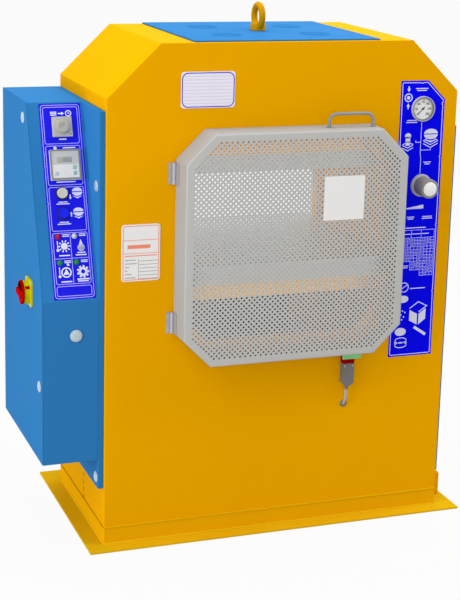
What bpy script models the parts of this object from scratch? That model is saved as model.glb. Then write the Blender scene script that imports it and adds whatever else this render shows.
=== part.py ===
"""A vulcanizing machine: a hydraulic platen press in a welded frame, with its guard and control cabinet.

Metres, +Z up, front towards -Y. The origin is on the floor under the middle of the body.
"""

import math

import bmesh
import bpy
from mathutils import Matrix, Vector

# Fits and making
GAP = 0.0003  # left between two pieces that touch
OVERRUN = 0.010  # how far a cutter runs past what it cuts
LAP = 0.001  # how deep a shape sinks into the one that it is joined to
MERGE = 0.00001
EDGE = 0.0012  # broken edges of thick plates
FINE_EDGE = 0.0005
ROUND_STEPS = 48
SMALL_STEPS = 24
WIRE_SIDES = 2  # bevel resolution of rods and leads
BEND_STEPS = 5

# Body and base
BODY_WIDTH = 0.900
BODY_DEPTH = 0.449
BODY_HEIGHT = 1.224  # above the base plate
SHOULDER_ACROSS = 0.128
SHOULDER_DROP = 0.126
BASE_THICK = 0.005
BASE_LEFT = 0.0435
BASE_RIGHT = 0.051
BASE_FRONT = 0.040
BASE_BACK = 0.0586
PLINTH_HEIGHT = 0.043
FRAME_PLATE = 0.025
COLUMN_WIDTH = 0.192  # front plate beside the window
BED_HEIGHT = 0.496  # front plate below the window, from the base plate
HEAD_HEIGHT = 0.240  # front plate above the window
WINDOW_CORNER = 0.066
WALL_PLATE = 0.020
WALL_SETBACK = 0.022  # inner walls stand this far outside the window's edge
SKIN = 0.006
ROOF_LIP = 0.010
DUCT_WIDTH = 0.041
DUCT_HEIGHT = 0.061
DUCT_SETBACK = 0.057

# Covers
LEFT_COVER_THICK = 0.014
LEFT_COVER_FRONT = 0.0063
LEFT_COVER_BOTTOM = 0.144
LEFT_COVER_TOP = 0.156  # below the body's top
RIGHT_COVER_THICK = 0.008
RIGHT_COVER_FRONT = 0.010
RIGHT_COVER_BOTTOM = 0.090
RIGHT_COVER_TOP = 0.216
COVER_BACK = 0.012
TOP_COVER_HALF = 0.237
TOP_COVER_MARGIN = 0.0083
TOP_COVER_THICK = 0.0035

# Lifting eye, M20
EYE_RING = 0.028  # radius to the middle of the ring's wire
EYE_WIRE = 0.008
EYE_HEIGHT = 0.071
EYE_COLLAR = 0.019
EYE_COLLAR_HEIGHT = 0.016
EYE_NECK = 0.013
EYE_NECK_HEIGHT = 0.021
EYE_SHANK = 0.010
EYE_SHANK_LENGTH = 0.030
EYE_BORE_DEPTH = 0.040  # below the body's top
EYE_WIRE_STEPS = 12
EYE_RING_STEPS = 32

# Press
HEAD_BEAM_DROP = 0.033  # below the window's upper edge
BED_BEAM_HEIGHT = 0.102
UPPER_PLATEN_THICK = 0.042
LOWER_PLATEN_THICK = 0.0475
TABLE_THICK = 0.0525
TABLE_RISE = 0.099  # table's underside above the window's lower edge
PLATEN_SIDE = 0.008
PLATEN_END = 0.0095
PLATEN_LEDGE = 0.032  # lower platen beyond the front and rear plates
TABLE_SIDE = 0.012
RAM_RADIUS = 0.105
CYLINDER_WALL = 0.040
CYLINDER_FLOOR = 0.035
CYLINDER_DROP = 0.026  # cylinder's top below the window's lower edge
GLAND_WALL = 0.022
GLAND_HEIGHT = 0.010

# Hydraulic power pack, in the right column
TANK_SIDE = 0.012
TANK_END = 0.030
TANK_HEIGHT = 0.330
MOTOR_RADIUS = 0.042
MOTOR_FLANGE = 0.045
MOTOR_FLANGE_THICK = 0.010
MOTOR_HEIGHT = 0.170
MOTOR_CROWN = 0.012
MOTOR_FROM_END = 0.052
VALVE_WIDTH = 0.060
VALVE_DEPTH = 0.050
VALVE_HEIGHT = 0.060
PIPE_RADIUS = 0.006
PIPE_RISE = 0.032  # above the tank

# Control cabinet, on the left cover
CABINET_WIDTH = 0.1357
CABINET_SHEET = 0.002
CABINET_FRONT = 0.0064
CABINET_BOTTOM = 0.219
SLOPE_LENGTH = 0.4754
SLOPE_LEAN = math.radians(20.07)
CONTACTOR_WIDTH = 0.045
CONTACTOR_HEIGHT = 0.080
CONTACTOR_DEPTH = 0.070
CONTACTOR_STEP = 0.020
CONTACTOR_DROP = 0.330
CONTACTOR_BACK = 0.070
TERMINAL_LENGTH = 0.240
TERMINAL_HEIGHT = 0.042
TERMINAL_DEPTH = 0.036
TERMINAL_RISE = 0.080
TERMINAL_BACK = 0.060

# Cap on the cabinet's front, from its left face and down from the knee
CABINET_CAP_ACROSS = 0.0815
CABINET_CAP_DROP = 0.085
CABINET_CAP = 0.015
CABINET_CAP_HEIGHT = 0.006

# Instruments on the slope: across from the cabinet's left face, and up as shares of the slope's length
TIMER_ACROSS = 0.0815
TIMER_UP_SHARE = 0.873
TIMER_SIDE = 0.048
TIMER_FACE = 0.006
TIMER_REAR = 0.0445
TIMER_DEPTH = 0.055
TIMER_KNOB = 0.0165
TIMER_KNOB_HEIGHT = 0.007
KNOB_PIN = 0.003
KNOB_PIN_LENGTH = 0.004
CONTROLLER_ACROSS = 0.081
CONTROLLER_UP_SHARE = 0.6794
CONTROLLER_SIDE = 0.072
CONTROLLER_FACE = 0.008
CONTROLLER_REAR = 0.067
CONTROLLER_DEPTH = 0.060
KEY_SIDE = 0.008
KEY_PROUD = 0.0012
KEY_TRAVEL = 0.0008
KEY_POCKET = 0.0035
KEY_RIGHT = 0.0218  # from the controller's middle
KEY_LEFT = 0.0218
KEY_UPPER = 0.0063
KEY_LOWER = 0.0200
BUTTON_RADIUS = 0.0125
BUTTON_PROUD = 0.010
BUTTON_TRAVEL = 0.004
BUTTON_CLEARANCE = 0.0015  # under the pressed button
BUTTON_STEM = 0.007
BUTTON_STEM_LENGTH = 0.030
STOP_ACROSS = 0.0685
STOP_UP_SHARE = 0.5343
START_ACROSS = 0.0676
START_UP_SHARE = 0.4333
LAMP_RADIUS = 0.0055
LAMP_RIM = 0.0065
LAMP_RIM_HEIGHT = 0.0015
LAMP_PROUD = 0.006
LAMP_STEM = 0.005
LAMP_STEM_LENGTH = 0.020
LAMP_LEFT = 0.050
LAMP_RIGHT = 0.090
LAMP_UPPER_SHARE = 0.3229
LAMP_LOWER_SHARE = 0.1925

# Main switch, on the cabinet's left face
SWITCH_BACK = 0.1291  # behind the cabinet's front
SWITCH_DROP = 0.005  # below the knee
SWITCH_PLATE = 0.067
SWITCH_PLATE_CORNER = 0.010
SWITCH_PLATE_THICK = 0.004
SWITCH_BODY = 0.028
SWITCH_BODY_HEIGHT = 0.018
SWITCH_DISC = 0.030
SWITCH_DISC_HEIGHT = 0.024
SWITCH_GRIP_HEIGHT = 0.0305
SWITCH_GRIP_WIDTH = 0.014
SWITCH_SHAFT = 0.007
SWITCH_SHAFT_DEPTH = 0.012

# Gauge and pressure regulator, from the front plate's right edge and top
GAUGE_SIDE = 0.0945
GAUGE_DROP = 0.1692
GAUGE_RIM = 0.0314
GAUGE_RIM_HEIGHT = 0.008
GAUGE_CASE = 0.0295
GAUGE_DEPTH = 0.028
GAUGE_WALL = 0.0015
DIAL_DEPTH = 0.006  # dial's face below the rim
NEEDLE_REST = math.radians(135)  # from straight up, towards the left
NEEDLE_HUB = 0.003
NEEDLE_LENGTH = 0.020
NEEDLE_TAIL = 0.008
NEEDLE_WIDTH = 0.0016
NEEDLE_THICK = 0.0008
LENS_THICK = 0.0015
LENS_INSET = 0.0015
REGULATOR_SIDE = 0.0882
REGULATOR_DROP = 0.3622
REGULATOR_BASE = 0.0284
REGULATOR_BASE_HEIGHT = 0.008
REGULATOR_NECK = 0.016
REGULATOR_NECK_HEIGHT = 0.012
REGULATOR_REACH = 0.040  # stem behind the plate's face
REGULATOR_STEM = 0.012
REGULATOR_KNOB = 0.0242
REGULATOR_KNOB_LENGTH = 0.044
REGULATOR_KNOB_STEP = 0.002
REGULATOR_INLAY = 0.0178
REGULATOR_SPINDLE = 0.005
REGULATOR_SPINDLE_LENGTH = 0.020

# Plates on the front, from its left edge and top
NAME_PLATE_SIDE = 0.178
NAME_PLATE_DROP = 0.067
NAME_PLATE_WIDTH = 0.134
NAME_PLATE_HEIGHT = 0.086
RATING_PLATE_SIDE = 0.038
RATING_PLATE_DROP = 0.424
RATING_PLATE_WIDTH = 0.095
RATING_PLATE_HEIGHT = 0.138
PLATE_THICK = 0.001
PLATE_CORNER = 0.008

# Guard
GUARD_LEFT_LAP = 0.023
GUARD_RIGHT_LAP = 0.0285
GUARD_LAP = 0.038  # above and below the window
GUARD_DEPTH = 0.080
GUARD_CORNER = 0.070
GUARD_SHEET = 0.0015
GUARD_BEND = 0.005
HANDLE_RIGHT = 0.0832  # right foot, from the guard's right side
HANDLE_SPAN = 0.1145
HANDLE_OFF = 0.042  # in front of the plate
HANDLE_HEIGHT = 0.037
HANDLE_BEND = 0.018
HANDLE_ROD = 0.004

# Guard hinges
HINGE_LENGTH = 0.052
HINGE_LEAF = 0.002
HINGE_LEAF_REACH = 0.0133
HINGE_GUARD_REACH = 0.022
HINGE_BARREL = 0.005
HINGE_PIN = 0.0025
HINGE_HIGH_DROP = 0.305  # middle of the upper one, below the body's top
HINGE_LOW_RISE = 0.0585  # middle of the lower one, above the window's lower edge
HINGE_KNUCKLES = 3

# Interlock, under the guard, from the guard's right side
INTERLOCK_ACROSS = 0.1091
INTERLOCK_WIDTH = 0.030
INTERLOCK_DEPTH = 0.0205
INTERLOCK_BODY_HEIGHT = 0.0589
INTERLOCK_HEAD_HEIGHT = 0.0272
INTERLOCK_HEAD_DROP = 0.014  # head's top below the guard
INTERLOCK_CORNER = 0.008
ACTUATOR_ACROSS = 0.1045
ACTUATOR_WIDTH = 0.0495
ACTUATOR_HEIGHT = 0.0273
ACTUATOR_THICK = 0.005
ACTUATOR_OFF = 0.002  # in front of the head
TONGUE_WIDTH = 0.010
TONGUE_HEIGHT = 0.003
TONGUE_REACH = 0.012
TONGUE_PLAY = 0.0015
TONGUE_PLAY_HIGH = 0.0008
TONGUE_DROP = 0.005  # middle, below the head's top
LEAD_RADIUS = 0.0035
LEAD_DROP = 0.0304  # straight stretch below the body
LEAD_BEND = 0.028  # to the lead's middle line
LEAD_DRIFT = 0.0024  # to the left on its way to the plate
LEAD_INSIDE = 0.020
LEAD_STEPS = 10

# Places worked out from the sizes above
HALF_WIDTH = BODY_WIDTH / 2
HALF_DEPTH = BODY_DEPTH / 2
TOP = BASE_THICK + BODY_HEIGHT
BED = BASE_THICK + PLINTH_HEIGHT
SHOULDER = TOP - SHOULDER_DROP
ROOF_HALF = HALF_WIDTH - SHOULDER_ACROSS
WINDOW_HALF = HALF_WIDTH - COLUMN_WIDTH
WINDOW_LOW = BASE_THICK + BED_HEIGHT
WINDOW_HIGH = TOP - HEAD_HEIGHT
WALL_INNER = WINDOW_HALF + WALL_SETBACK
WALL_OUTER = WALL_INNER + WALL_PLATE
INNER_DEPTH = HALF_DEPTH - FRAME_PLATE - GAP
HEAD_BEAM_LOW = WINDOW_HIGH - HEAD_BEAM_DROP
TABLE_LOW = WINDOW_LOW + TABLE_RISE
CYLINDER_TOP = WINDOW_LOW - CYLINDER_DROP
PLATEN_HALF = WINDOW_HALF - PLATEN_SIDE
PLATEN_DEPTH = INNER_DEPTH - PLATEN_END
LEDGE_DEPTH = HALF_DEPTH + PLATEN_LEDGE
TANK_TOP = BED + GAP + TANK_HEIGHT
TANK_MIDDLE = (WALL_OUTER + HALF_WIDTH - SKIN) / 2
TANK_HALF = (HALF_WIDTH - SKIN - WALL_OUTER) / 2 - TANK_SIDE
TANK_DEPTH = INNER_DEPTH - TANK_END
COVER_FACE = HALF_WIDTH + GAP + LEFT_COVER_THICK
COVER_TOP = TOP - LEFT_COVER_TOP
CABINET_RIGHT = -COVER_FACE - GAP
CABINET_LEFT = CABINET_RIGHT - CABINET_WIDTH
CABINET_FACE = -HALF_DEPTH + CABINET_FRONT
CABINET_REAR = HALF_DEPTH - COVER_BACK
CABINET_LOW = BASE_THICK + CABINET_BOTTOM
KNEE = COVER_TOP - SLOPE_LENGTH * math.cos(SLOPE_LEAN)
SLOPE_TOP = CABINET_FACE + SLOPE_LENGTH * math.sin(SLOPE_LEAN)
TIMER_UP = SLOPE_LENGTH * TIMER_UP_SHARE
CONTROLLER_UP = SLOPE_LENGTH * CONTROLLER_UP_SHARE
STOP_UP = SLOPE_LENGTH * STOP_UP_SHARE
START_UP = SLOPE_LENGTH * START_UP_SHARE
LAMP_UPPER = SLOPE_LENGTH * LAMP_UPPER_SHARE
LAMP_LOWER = SLOPE_LENGTH * LAMP_LOWER_SHARE
GAUGE_ACROSS = HALF_WIDTH - GAUGE_SIDE
GAUGE_UP = TOP - GAUGE_DROP
REGULATOR_ACROSS = HALF_WIDTH - REGULATOR_SIDE
REGULATOR_UP = TOP - REGULATOR_DROP
GUARD_LEFT = -WINDOW_HALF - GUARD_LEFT_LAP
GUARD_RIGHT = WINDOW_HALF + GUARD_RIGHT_LAP
GUARD_LOW = WINDOW_LOW - GUARD_LAP
GUARD_HIGH = WINDOW_HIGH + GUARD_LAP
PIN_ACROSS = GUARD_LEFT - GAP - HINGE_BARREL
PIN_OFF = HINGE_BARREL + GAP
HEAD_ACROSS = GUARD_RIGHT - INTERLOCK_ACROSS
HEAD_HIGH = GUARD_LOW - INTERLOCK_HEAD_DROP
HEAD_LOW = HEAD_HIGH - INTERLOCK_HEAD_HEIGHT
BODY_LOW = HEAD_LOW - GAP - INTERLOCK_BODY_HEIGHT
LEAD_TURN = math.acos(1 - INTERLOCK_DEPTH / 2 / LEAD_BEND)

# Colours, with roughness and metallic
YELLOW_PAINT = ((0.76, 0.34, 0.0), 0.35, 0.0)
BLUE_PAINT = ((0.03, 0.22, 0.62), 0.35, 0.0)
GUARD_PAINT = ((0.48, 0.48, 0.45), 0.45, 0.0)
GREY_PAINT = ((0.20, 0.19, 0.18), 0.45, 0.0)
GROUND_STEEL = ((0.45, 0.45, 0.44), 0.35, 1.0)
DARK_STEEL = ((0.08, 0.08, 0.09), 0.35, 1.0)
BRIGHT_STEEL = ((0.60, 0.62, 0.64), 0.25, 1.0)
YELLOW_ZINC = ((0.55, 0.38, 0.08), 0.30, 1.0)
PALE_PLASTIC = ((0.70, 0.70, 0.65), 0.40, 0.0)
DARK_PLASTIC = ((0.04, 0.04, 0.045), 0.45, 0.0)
PALE_BLUE_PLASTIC = ((0.46, 0.55, 0.66), 0.45, 0.0)
TEAL_PLASTIC = ((0.25, 0.50, 0.42), 0.45, 0.0)
BLUE_PLASTIC = ((0.02, 0.05, 0.70), 0.40, 0.0)
YELLOW_PLASTIC = ((0.60, 0.52, 0.0), 0.40, 0.0)
RED_PLASTIC = ((0.55, 0.01, 0.005), 0.40, 0.0)
GREEN_PLASTIC = ((0.10, 0.50, 0.08), 0.40, 0.0)
WHITE_LENS = ((0.75, 0.75, 0.70), 0.20, 0.0)
CLEAR_GLASS = ((0.85, 0.88, 0.88), 0.05, 0.0)
WHITE_PLATE = ((0.78, 0.78, 0.76), 0.40, 0.0)


def seat(origin, right, up):
    """A frame whose local X is right, local Y is up and local Z stands off the surface."""
    right = Vector(right)
    up = Vector(up)
    turn = Matrix((right, up, right.cross(up))).transposed()
    return Matrix.Translation(origin) @ turn.to_4x4()


WORLD = Matrix.Identity(4)
FRONT = seat((0, -HALF_DEPTH, 0), (1, 0, 0), (0, 0, 1))
LEFT_FACE = seat((CABINET_LEFT, 0, 0), (0, -1, 0), (0, 0, 1))
SLOPE = seat(
    (CABINET_LEFT, CABINET_FACE, KNEE),
    (1, 0, 0),
    (0, math.sin(SLOPE_LEAN), math.cos(SLOPE_LEAN)),
)


def at(frame, across, up, off=0.0):
    """The same frame moved along its own axes."""
    return frame @ Matrix.Translation((across, up, off))


def clear_scene():
    """Removes what the scene holds and makes the two collections."""
    for old in list(bpy.data.objects):
        bpy.data.objects.remove(old)
    made = []
    for name in ("vulcanizing_machine", "cutters"):
        collection = bpy.data.collections.new(name)
        bpy.context.scene.collection.children.link(collection)
        made.append(collection)
    return made


PARTS, CUTTERS = clear_scene()


def placed(name, data, frame):
    """An object for the mesh or curve, standing in the frame."""
    piece = bpy.data.objects.new(name, data)
    PARTS.objects.link(piece)
    piece.matrix_world = frame
    return piece


def finish(piece, look):
    """Gives the piece its own material and shades its round faces smooth."""
    colour, roughness, metallic = look
    material = bpy.data.materials.new(piece.name + "_finish")
    material.use_nodes = True
    shader = material.node_tree.nodes["Principled BSDF"]
    shader.inputs["Base Color"].default_value = (*colour, 1.0)
    shader.inputs["Roughness"].default_value = roughness
    shader.inputs["Metallic"].default_value = metallic
    piece.data.materials.clear()
    piece.data.materials.append(material)
    return piece


def broken_edges(piece, width, segments=1):
    """Bevels the sharp edges."""
    change = piece.modifiers.new("edges", "BEVEL")
    change.width = width
    change.segments = segments
    change.limit_method = "ANGLE"
    return piece


def block(name, low, high, frame=WORLD, edge=0.0):
    """A box between two corners given in the frame, with its origin at its middle."""
    low = Vector(low)
    high = Vector(high)
    mesh = bpy.data.meshes.new(name)
    form = bmesh.new()
    bmesh.ops.create_cube(form, size=1)
    bmesh.ops.scale(form, vec=high - low, verts=form.verts)
    form.to_mesh(mesh)
    form.free()
    piece = placed(name, mesh, at(frame, *((low + high) / 2)))
    if edge:
        broken_edges(piece, edge)
    return piece


def turned(name, profile, frame, steps=ROUND_STEPS, ring=False):
    """A turned solid about the frame's Z axis. The profile of (radius, height) runs down its outer side."""
    mesh = bpy.data.meshes.new(name)
    count = len(profile)
    edges = [(index, index + 1) for index in range(count - 1)]
    if ring:
        edges.append((count - 1, 0))
    mesh.from_pydata([(radius, 0, height) for radius, height in profile], edges, [])
    piece = placed(name, mesh, frame)
    turn = piece.modifiers.new("turn", "SCREW")
    turn.axis = "Z"
    turn.angle = math.tau
    turn.steps = steps
    turn.render_steps = steps
    turn.use_merge_vertices = True
    turn.merge_threshold = MERGE
    turn.use_smooth_shade = True
    return piece


def shaft(name, radius, low, high, frame, steps=ROUND_STEPS):
    """A plain round bar along the frame's Z axis."""
    return turned(name, [(0, high), (radius, high), (radius, low), (0, low)], frame, steps)


def as_mesh(curve_object):
    """The curve object made a mesh, with its caps welded on."""
    bpy.context.view_layer.update()
    graph = bpy.context.evaluated_depsgraph_get()
    mesh = bpy.data.meshes.new_from_object(curve_object.evaluated_get(graph))
    form = bmesh.new()
    form.from_mesh(mesh)
    bmesh.ops.remove_doubles(form, verts=form.verts, dist=MERGE)
    form.to_mesh(mesh)
    form.free()
    name = curve_object.name
    frame = curve_object.matrix_world.copy()
    bpy.data.objects.remove(curve_object)
    return placed(name, mesh, frame)


def plate(name, loops, low, high, frame, edge=0.0):
    """A flat plate between two heights of the frame: an outer loop and any holes."""
    curve = bpy.data.curves.new(name, "CURVE")
    curve.dimensions = "2D"
    curve.fill_mode = "BOTH"
    curve.extrude = (high - low) / 2
    for loop in loops:
        spline = curve.splines.new("POLY")
        spline.points.add(len(loop) - 1)
        for point, (across, up) in zip(spline.points, loop):
            point.co = (across, up, 0, 1)
        spline.use_cyclic_u = True
    piece = as_mesh(placed(name, curve, at(frame, 0, 0, (low + high) / 2)))
    if edge:
        broken_edges(piece, edge)
    return piece


def tray(name, loop, floor, rim, wall, frame, bend=0.0):
    """A sheet tray: its floor's outer face and its open rim are at two heights of the frame."""
    mesh = bpy.data.meshes.new(name)
    form = bmesh.new()
    corners = [form.verts.new((across, up, floor)) for across, up in loop]
    base = form.faces.new(corners)
    grown = bmesh.ops.extrude_face_region(form, geom=[base])
    moved = [item for item in grown["geom"] if isinstance(item, bmesh.types.BMVert)]
    bmesh.ops.translate(form, vec=(0, 0, rim - floor), verts=moved)
    bmesh.ops.recalc_face_normals(form, faces=form.faces)
    lids = [face for face in form.faces if all(abs(corner.co.z - rim) < MERGE for corner in face.verts)]
    bmesh.ops.delete(form, geom=lids, context="FACES")
    form.to_mesh(mesh)
    form.free()
    piece = placed(name, mesh, frame)
    if bend:
        broken_edges(piece, bend, 3)
    sheet = piece.modifiers.new("sheet", "SOLIDIFY")
    sheet.thickness = wall
    sheet.offset = -1
    sheet.use_even_offset = True
    return piece


def tube(name, points, radius, frame=WORLD):
    """A round rod along the points."""
    curve = bpy.data.curves.new(name, "CURVE")
    curve.dimensions = "3D"
    curve.bevel_depth = radius
    curve.bevel_resolution = WIRE_SIDES
    curve.use_fill_caps = True
    spline = curve.splines.new("POLY")
    spline.points.add(len(points) - 1)
    for point, place in zip(spline.points, points):
        point.co = (*place, 1)
    return placed(name, curve, frame)


def into_cutters(tool):
    """Puts a helper shape with the cutters, out of the renders."""
    PARTS.objects.unlink(tool)
    CUTTERS.objects.link(tool)
    tool.hide_render = True
    tool.display_type = "WIRE"


def combine(piece, operation, tools):
    for tool in tools:
        into_cutters(tool)
        change = piece.modifiers.new(operation.lower(), "BOOLEAN")
        change.operation = operation
        change.solver = "EXACT"
        change.object = tool
    return piece


def cut(piece, *tools):
    return combine(piece, "DIFFERENCE", tools)


def join(piece, *tools):
    return combine(piece, "UNION", tools)


def hang(pieces, name, frame):
    """Parents the pieces to an empty on their joint's axis."""
    pivot = placed(name, None, frame)
    bpy.context.view_layer.update()
    for piece in pieces:
        piece.parent = pivot
        piece.matrix_parent_inverse = pivot.matrix_world.inverted()


def octagon(left, right, low, high, corner):
    """A rectangle with its corners cut off at 45 degrees."""
    return [
        (left + corner, low),
        (right - corner, low),
        (right, low + corner),
        (right, high - corner),
        (right - corner, high),
        (left + corner, high),
        (left, high - corner),
        (left, low + corner),
    ]


def rounded(left, right, low, high, radius):
    """A rectangle with round corners."""
    centres = (
        (right - radius, high - radius),
        (left + radius, high - radius),
        (left + radius, low + radius),
        (right - radius, low + radius),
    )
    points = []
    for quarter, (across, up) in enumerate(centres):
        for step in range(BEND_STEPS):
            angle = (quarter + step / (BEND_STEPS - 1)) * math.pi / 2
            points.append((across + radius * math.cos(angle), up + radius * math.sin(angle)))
    return points


def roof_under(across):
    """Height of the roof sheet's underside at a distance from the middle."""
    fall = SHOULDER_DROP / SHOULDER_ACROSS
    chamfer = TOP - (abs(across) - ROOF_HALF) * fall - SKIN * math.hypot(1, fall)
    return min(TOP - SKIN, chamfer)


def make_base():
    base = block(
        "base_plate",
        (-HALF_WIDTH - BASE_LEFT, -HALF_DEPTH - BASE_FRONT, 0),
        (HALF_WIDTH + BASE_RIGHT, HALF_DEPTH + BASE_BACK, BASE_THICK),
    )
    finish(base, YELLOW_PAINT)
    plinth = block(
        "plinth",
        (-HALF_WIDTH, -HALF_DEPTH, BASE_THICK + GAP),
        (HALF_WIDTH, HALF_DEPTH, BED),
        edge=EDGE,
    )
    finish(plinth, YELLOW_PAINT)
    duct = block(
        "side_duct",
        (HALF_WIDTH + GAP, -HALF_DEPTH + DUCT_SETBACK, BASE_THICK + GAP),
        (HALF_WIDTH + DUCT_WIDTH, HALF_DEPTH, BASE_THICK + DUCT_HEIGHT),
        edge=EDGE,
    )
    finish(duct, YELLOW_PAINT)


def body_outline():
    return [
        (-HALF_WIDTH, BED + GAP),
        (HALF_WIDTH, BED + GAP),
        (HALF_WIDTH, SHOULDER),
        (ROOF_HALF, TOP),
        (-ROOF_HALF, TOP),
        (-HALF_WIDTH, SHOULDER),
    ]


def make_frame_plates():
    window = octagon(-WINDOW_HALF, WINDOW_HALF, WINDOW_LOW, WINDOW_HIGH, WINDOW_CORNER)
    front = plate("front_plate", [body_outline(), window], -FRAME_PLATE, 0, FRONT, EDGE)
    bores = (
        ("gauge_bore", GAUGE_CASE + GAP, GAUGE_ACROSS, GAUGE_UP),
        ("regulator_bore", REGULATOR_STEM + GAP, REGULATOR_ACROSS, REGULATOR_UP),
    )
    for name, radius, across, up in bores:
        place = at(FRONT, across, up)
        cut(front, shaft(name, radius, -FRAME_PLATE - OVERRUN, OVERRUN, place))
    way = FRAME_PLATE * 2
    cut(front, shaft("lead_bore", LEAD_RADIUS + GAP * 2, -way, way, lead_seat(), SMALL_STEPS))
    finish(front, YELLOW_PAINT)
    rear_face = -BODY_DEPTH
    rear = plate("rear_plate", [body_outline(), window], rear_face, rear_face + FRAME_PLATE, FRONT, EDGE)
    finish(rear, YELLOW_PAINT)


def make_walls():
    wall_top = roof_under(WALL_OUTER) - GAP
    for side, name in ((-1, "left_inner_wall"), (1, "right_inner_wall")):
        ends = sorted((side * WALL_INNER, side * WALL_OUTER))
        wall = block(name, (ends[0], -INNER_DEPTH, BED + GAP), (ends[1], INNER_DEPTH, wall_top))
        if side > 0:
            way = seat((WALL_INNER, 0, TANK_TOP + PIPE_RISE), (0, 1, 0), (0, 0, 1))
            cut(wall, shaft("pipe_bore", PIPE_RADIUS + GAP, -OVERRUN, WALL_PLATE + OVERRUN, way, SMALL_STEPS))
        finish(wall, YELLOW_PAINT)
    for side, name in ((-1, "left_outer_wall"), (1, "right_outer_wall")):
        ends = sorted((side * (HALF_WIDTH - SKIN), side * HALF_WIDTH))
        wall = block(
            name,
            (ends[0], -INNER_DEPTH, BED + GAP),
            (ends[1], INNER_DEPTH, SHOULDER - ROOF_LIP - GAP),
        )
        finish(wall, YELLOW_PAINT)


def make_roof():
    mesh = bpy.data.meshes.new("roof_sheet")
    form = bmesh.new()
    bend_line = (
        (HALF_WIDTH, SHOULDER - ROOF_LIP),
        (HALF_WIDTH, SHOULDER),
        (ROOF_HALF, TOP),
        (-ROOF_HALF, TOP),
        (-HALF_WIDTH, SHOULDER),
        (-HALF_WIDTH, SHOULDER - ROOF_LIP),
    )
    corners = [form.verts.new((across, -INNER_DEPTH, up)) for across, up in bend_line]
    edges = [form.edges.new(pair) for pair in zip(corners, corners[1:])]
    grown = bmesh.ops.extrude_edge_only(form, edges=edges)
    moved = [item for item in grown["geom"] if isinstance(item, bmesh.types.BMVert)]
    bmesh.ops.translate(form, vec=(0, 2 * INNER_DEPTH, 0), verts=moved)
    for face in form.faces:
        face.normal_update()
        if face.normal.dot(face.calc_center_median() - Vector((0, 0, SHOULDER - HALF_WIDTH))) < 0:
            face.normal_flip()
    form.to_mesh(mesh)
    form.free()
    roof = placed("roof_sheet", mesh, WORLD)
    sheet = roof.modifiers.new("sheet", "SOLIDIFY")
    sheet.thickness = SKIN
    sheet.offset = -1
    sheet.use_even_offset = True
    eye = seat((0, 0, TOP), (1, 0, 0), (0, 1, 0))
    cut(roof, shaft("roof_eye_bore", EYE_SHANK + GAP, -SKIN - OVERRUN, OVERRUN, eye))
    finish(roof, YELLOW_PAINT)


def make_beams():
    head = block(
        "head_beam",
        (-WALL_INNER + GAP, -INNER_DEPTH, HEAD_BEAM_LOW),
        (WALL_INNER - GAP, INNER_DEPTH, roof_under(WALL_INNER) - GAP),
    )
    eye = seat((0, 0, TOP), (1, 0, 0), (0, 1, 0))
    cut(head, shaft("head_eye_bore", EYE_SHANK + GAP, -EYE_BORE_DEPTH, OVERRUN, eye))
    finish(head, YELLOW_PAINT)
    bed = block(
        "bed_beam",
        (-WALL_INNER + GAP, -INNER_DEPTH, BED + GAP),
        (WALL_INNER - GAP, INNER_DEPTH, BED + GAP + BED_BEAM_HEIGHT),
    )
    finish(bed, YELLOW_PAINT)


def make_covers():
    left = block(
        "left_cover",
        (-COVER_FACE, -HALF_DEPTH + LEFT_COVER_FRONT, BASE_THICK + LEFT_COVER_BOTTOM),
        (-HALF_WIDTH - GAP, HALF_DEPTH - COVER_BACK, COVER_TOP),
        edge=EDGE,
    )
    finish(left, BLUE_PAINT)
    right = block(
        "right_cover",
        (HALF_WIDTH + GAP, -HALF_DEPTH + RIGHT_COVER_FRONT, BASE_THICK + RIGHT_COVER_BOTTOM),
        (HALF_WIDTH + GAP + RIGHT_COVER_THICK, HALF_DEPTH - COVER_BACK, TOP - RIGHT_COVER_TOP),
        edge=EDGE,
    )
    finish(right, BLUE_PAINT)
    top = block(
        "top_cover",
        (-TOP_COVER_HALF, -HALF_DEPTH + TOP_COVER_MARGIN, TOP + GAP),
        (TOP_COVER_HALF, HALF_DEPTH - TOP_COVER_MARGIN, TOP + GAP + TOP_COVER_THICK),
        edge=FINE_EDGE,
    )
    eye = seat((0, 0, TOP), (1, 0, 0), (0, 1, 0))
    cut(top, shaft("cover_eye_bore", EYE_SHANK + GAP, -OVERRUN, OVERRUN, eye))
    finish(top, BLUE_PAINT)


def make_eyebolt():
    seat_height = TOP + GAP + TOP_COVER_THICK + GAP
    collar = seat((0, 0, seat_height), (1, 0, 0), (0, 1, 0))
    profile = [
        (0, EYE_NECK_HEIGHT),
        (EYE_NECK, EYE_NECK_HEIGHT),
        (EYE_COLLAR, EYE_COLLAR_HEIGHT),
        (EYE_COLLAR, 0),
        (EYE_SHANK, 0),
        (EYE_SHANK, -EYE_SHANK_LENGTH),
        (0, -EYE_SHANK_LENGTH),
    ]
    bolt = turned("eyebolt", profile, collar, SMALL_STEPS)
    ring_height = EYE_HEIGHT - EYE_RING - EYE_WIRE
    ring_frame = collar @ seat((0, 0, ring_height), (0, 1, 0), (0, 0, 1))
    wire = [
        (EYE_RING + EYE_WIRE * math.cos(turn), EYE_WIRE * math.sin(turn))
        for turn in (-math.tau * step / EYE_WIRE_STEPS for step in range(EYE_WIRE_STEPS))
    ]
    join(bolt, turned("eye_ring", wire, ring_frame, EYE_RING_STEPS, ring=True))
    finish(bolt, YELLOW_ZINC)


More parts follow.
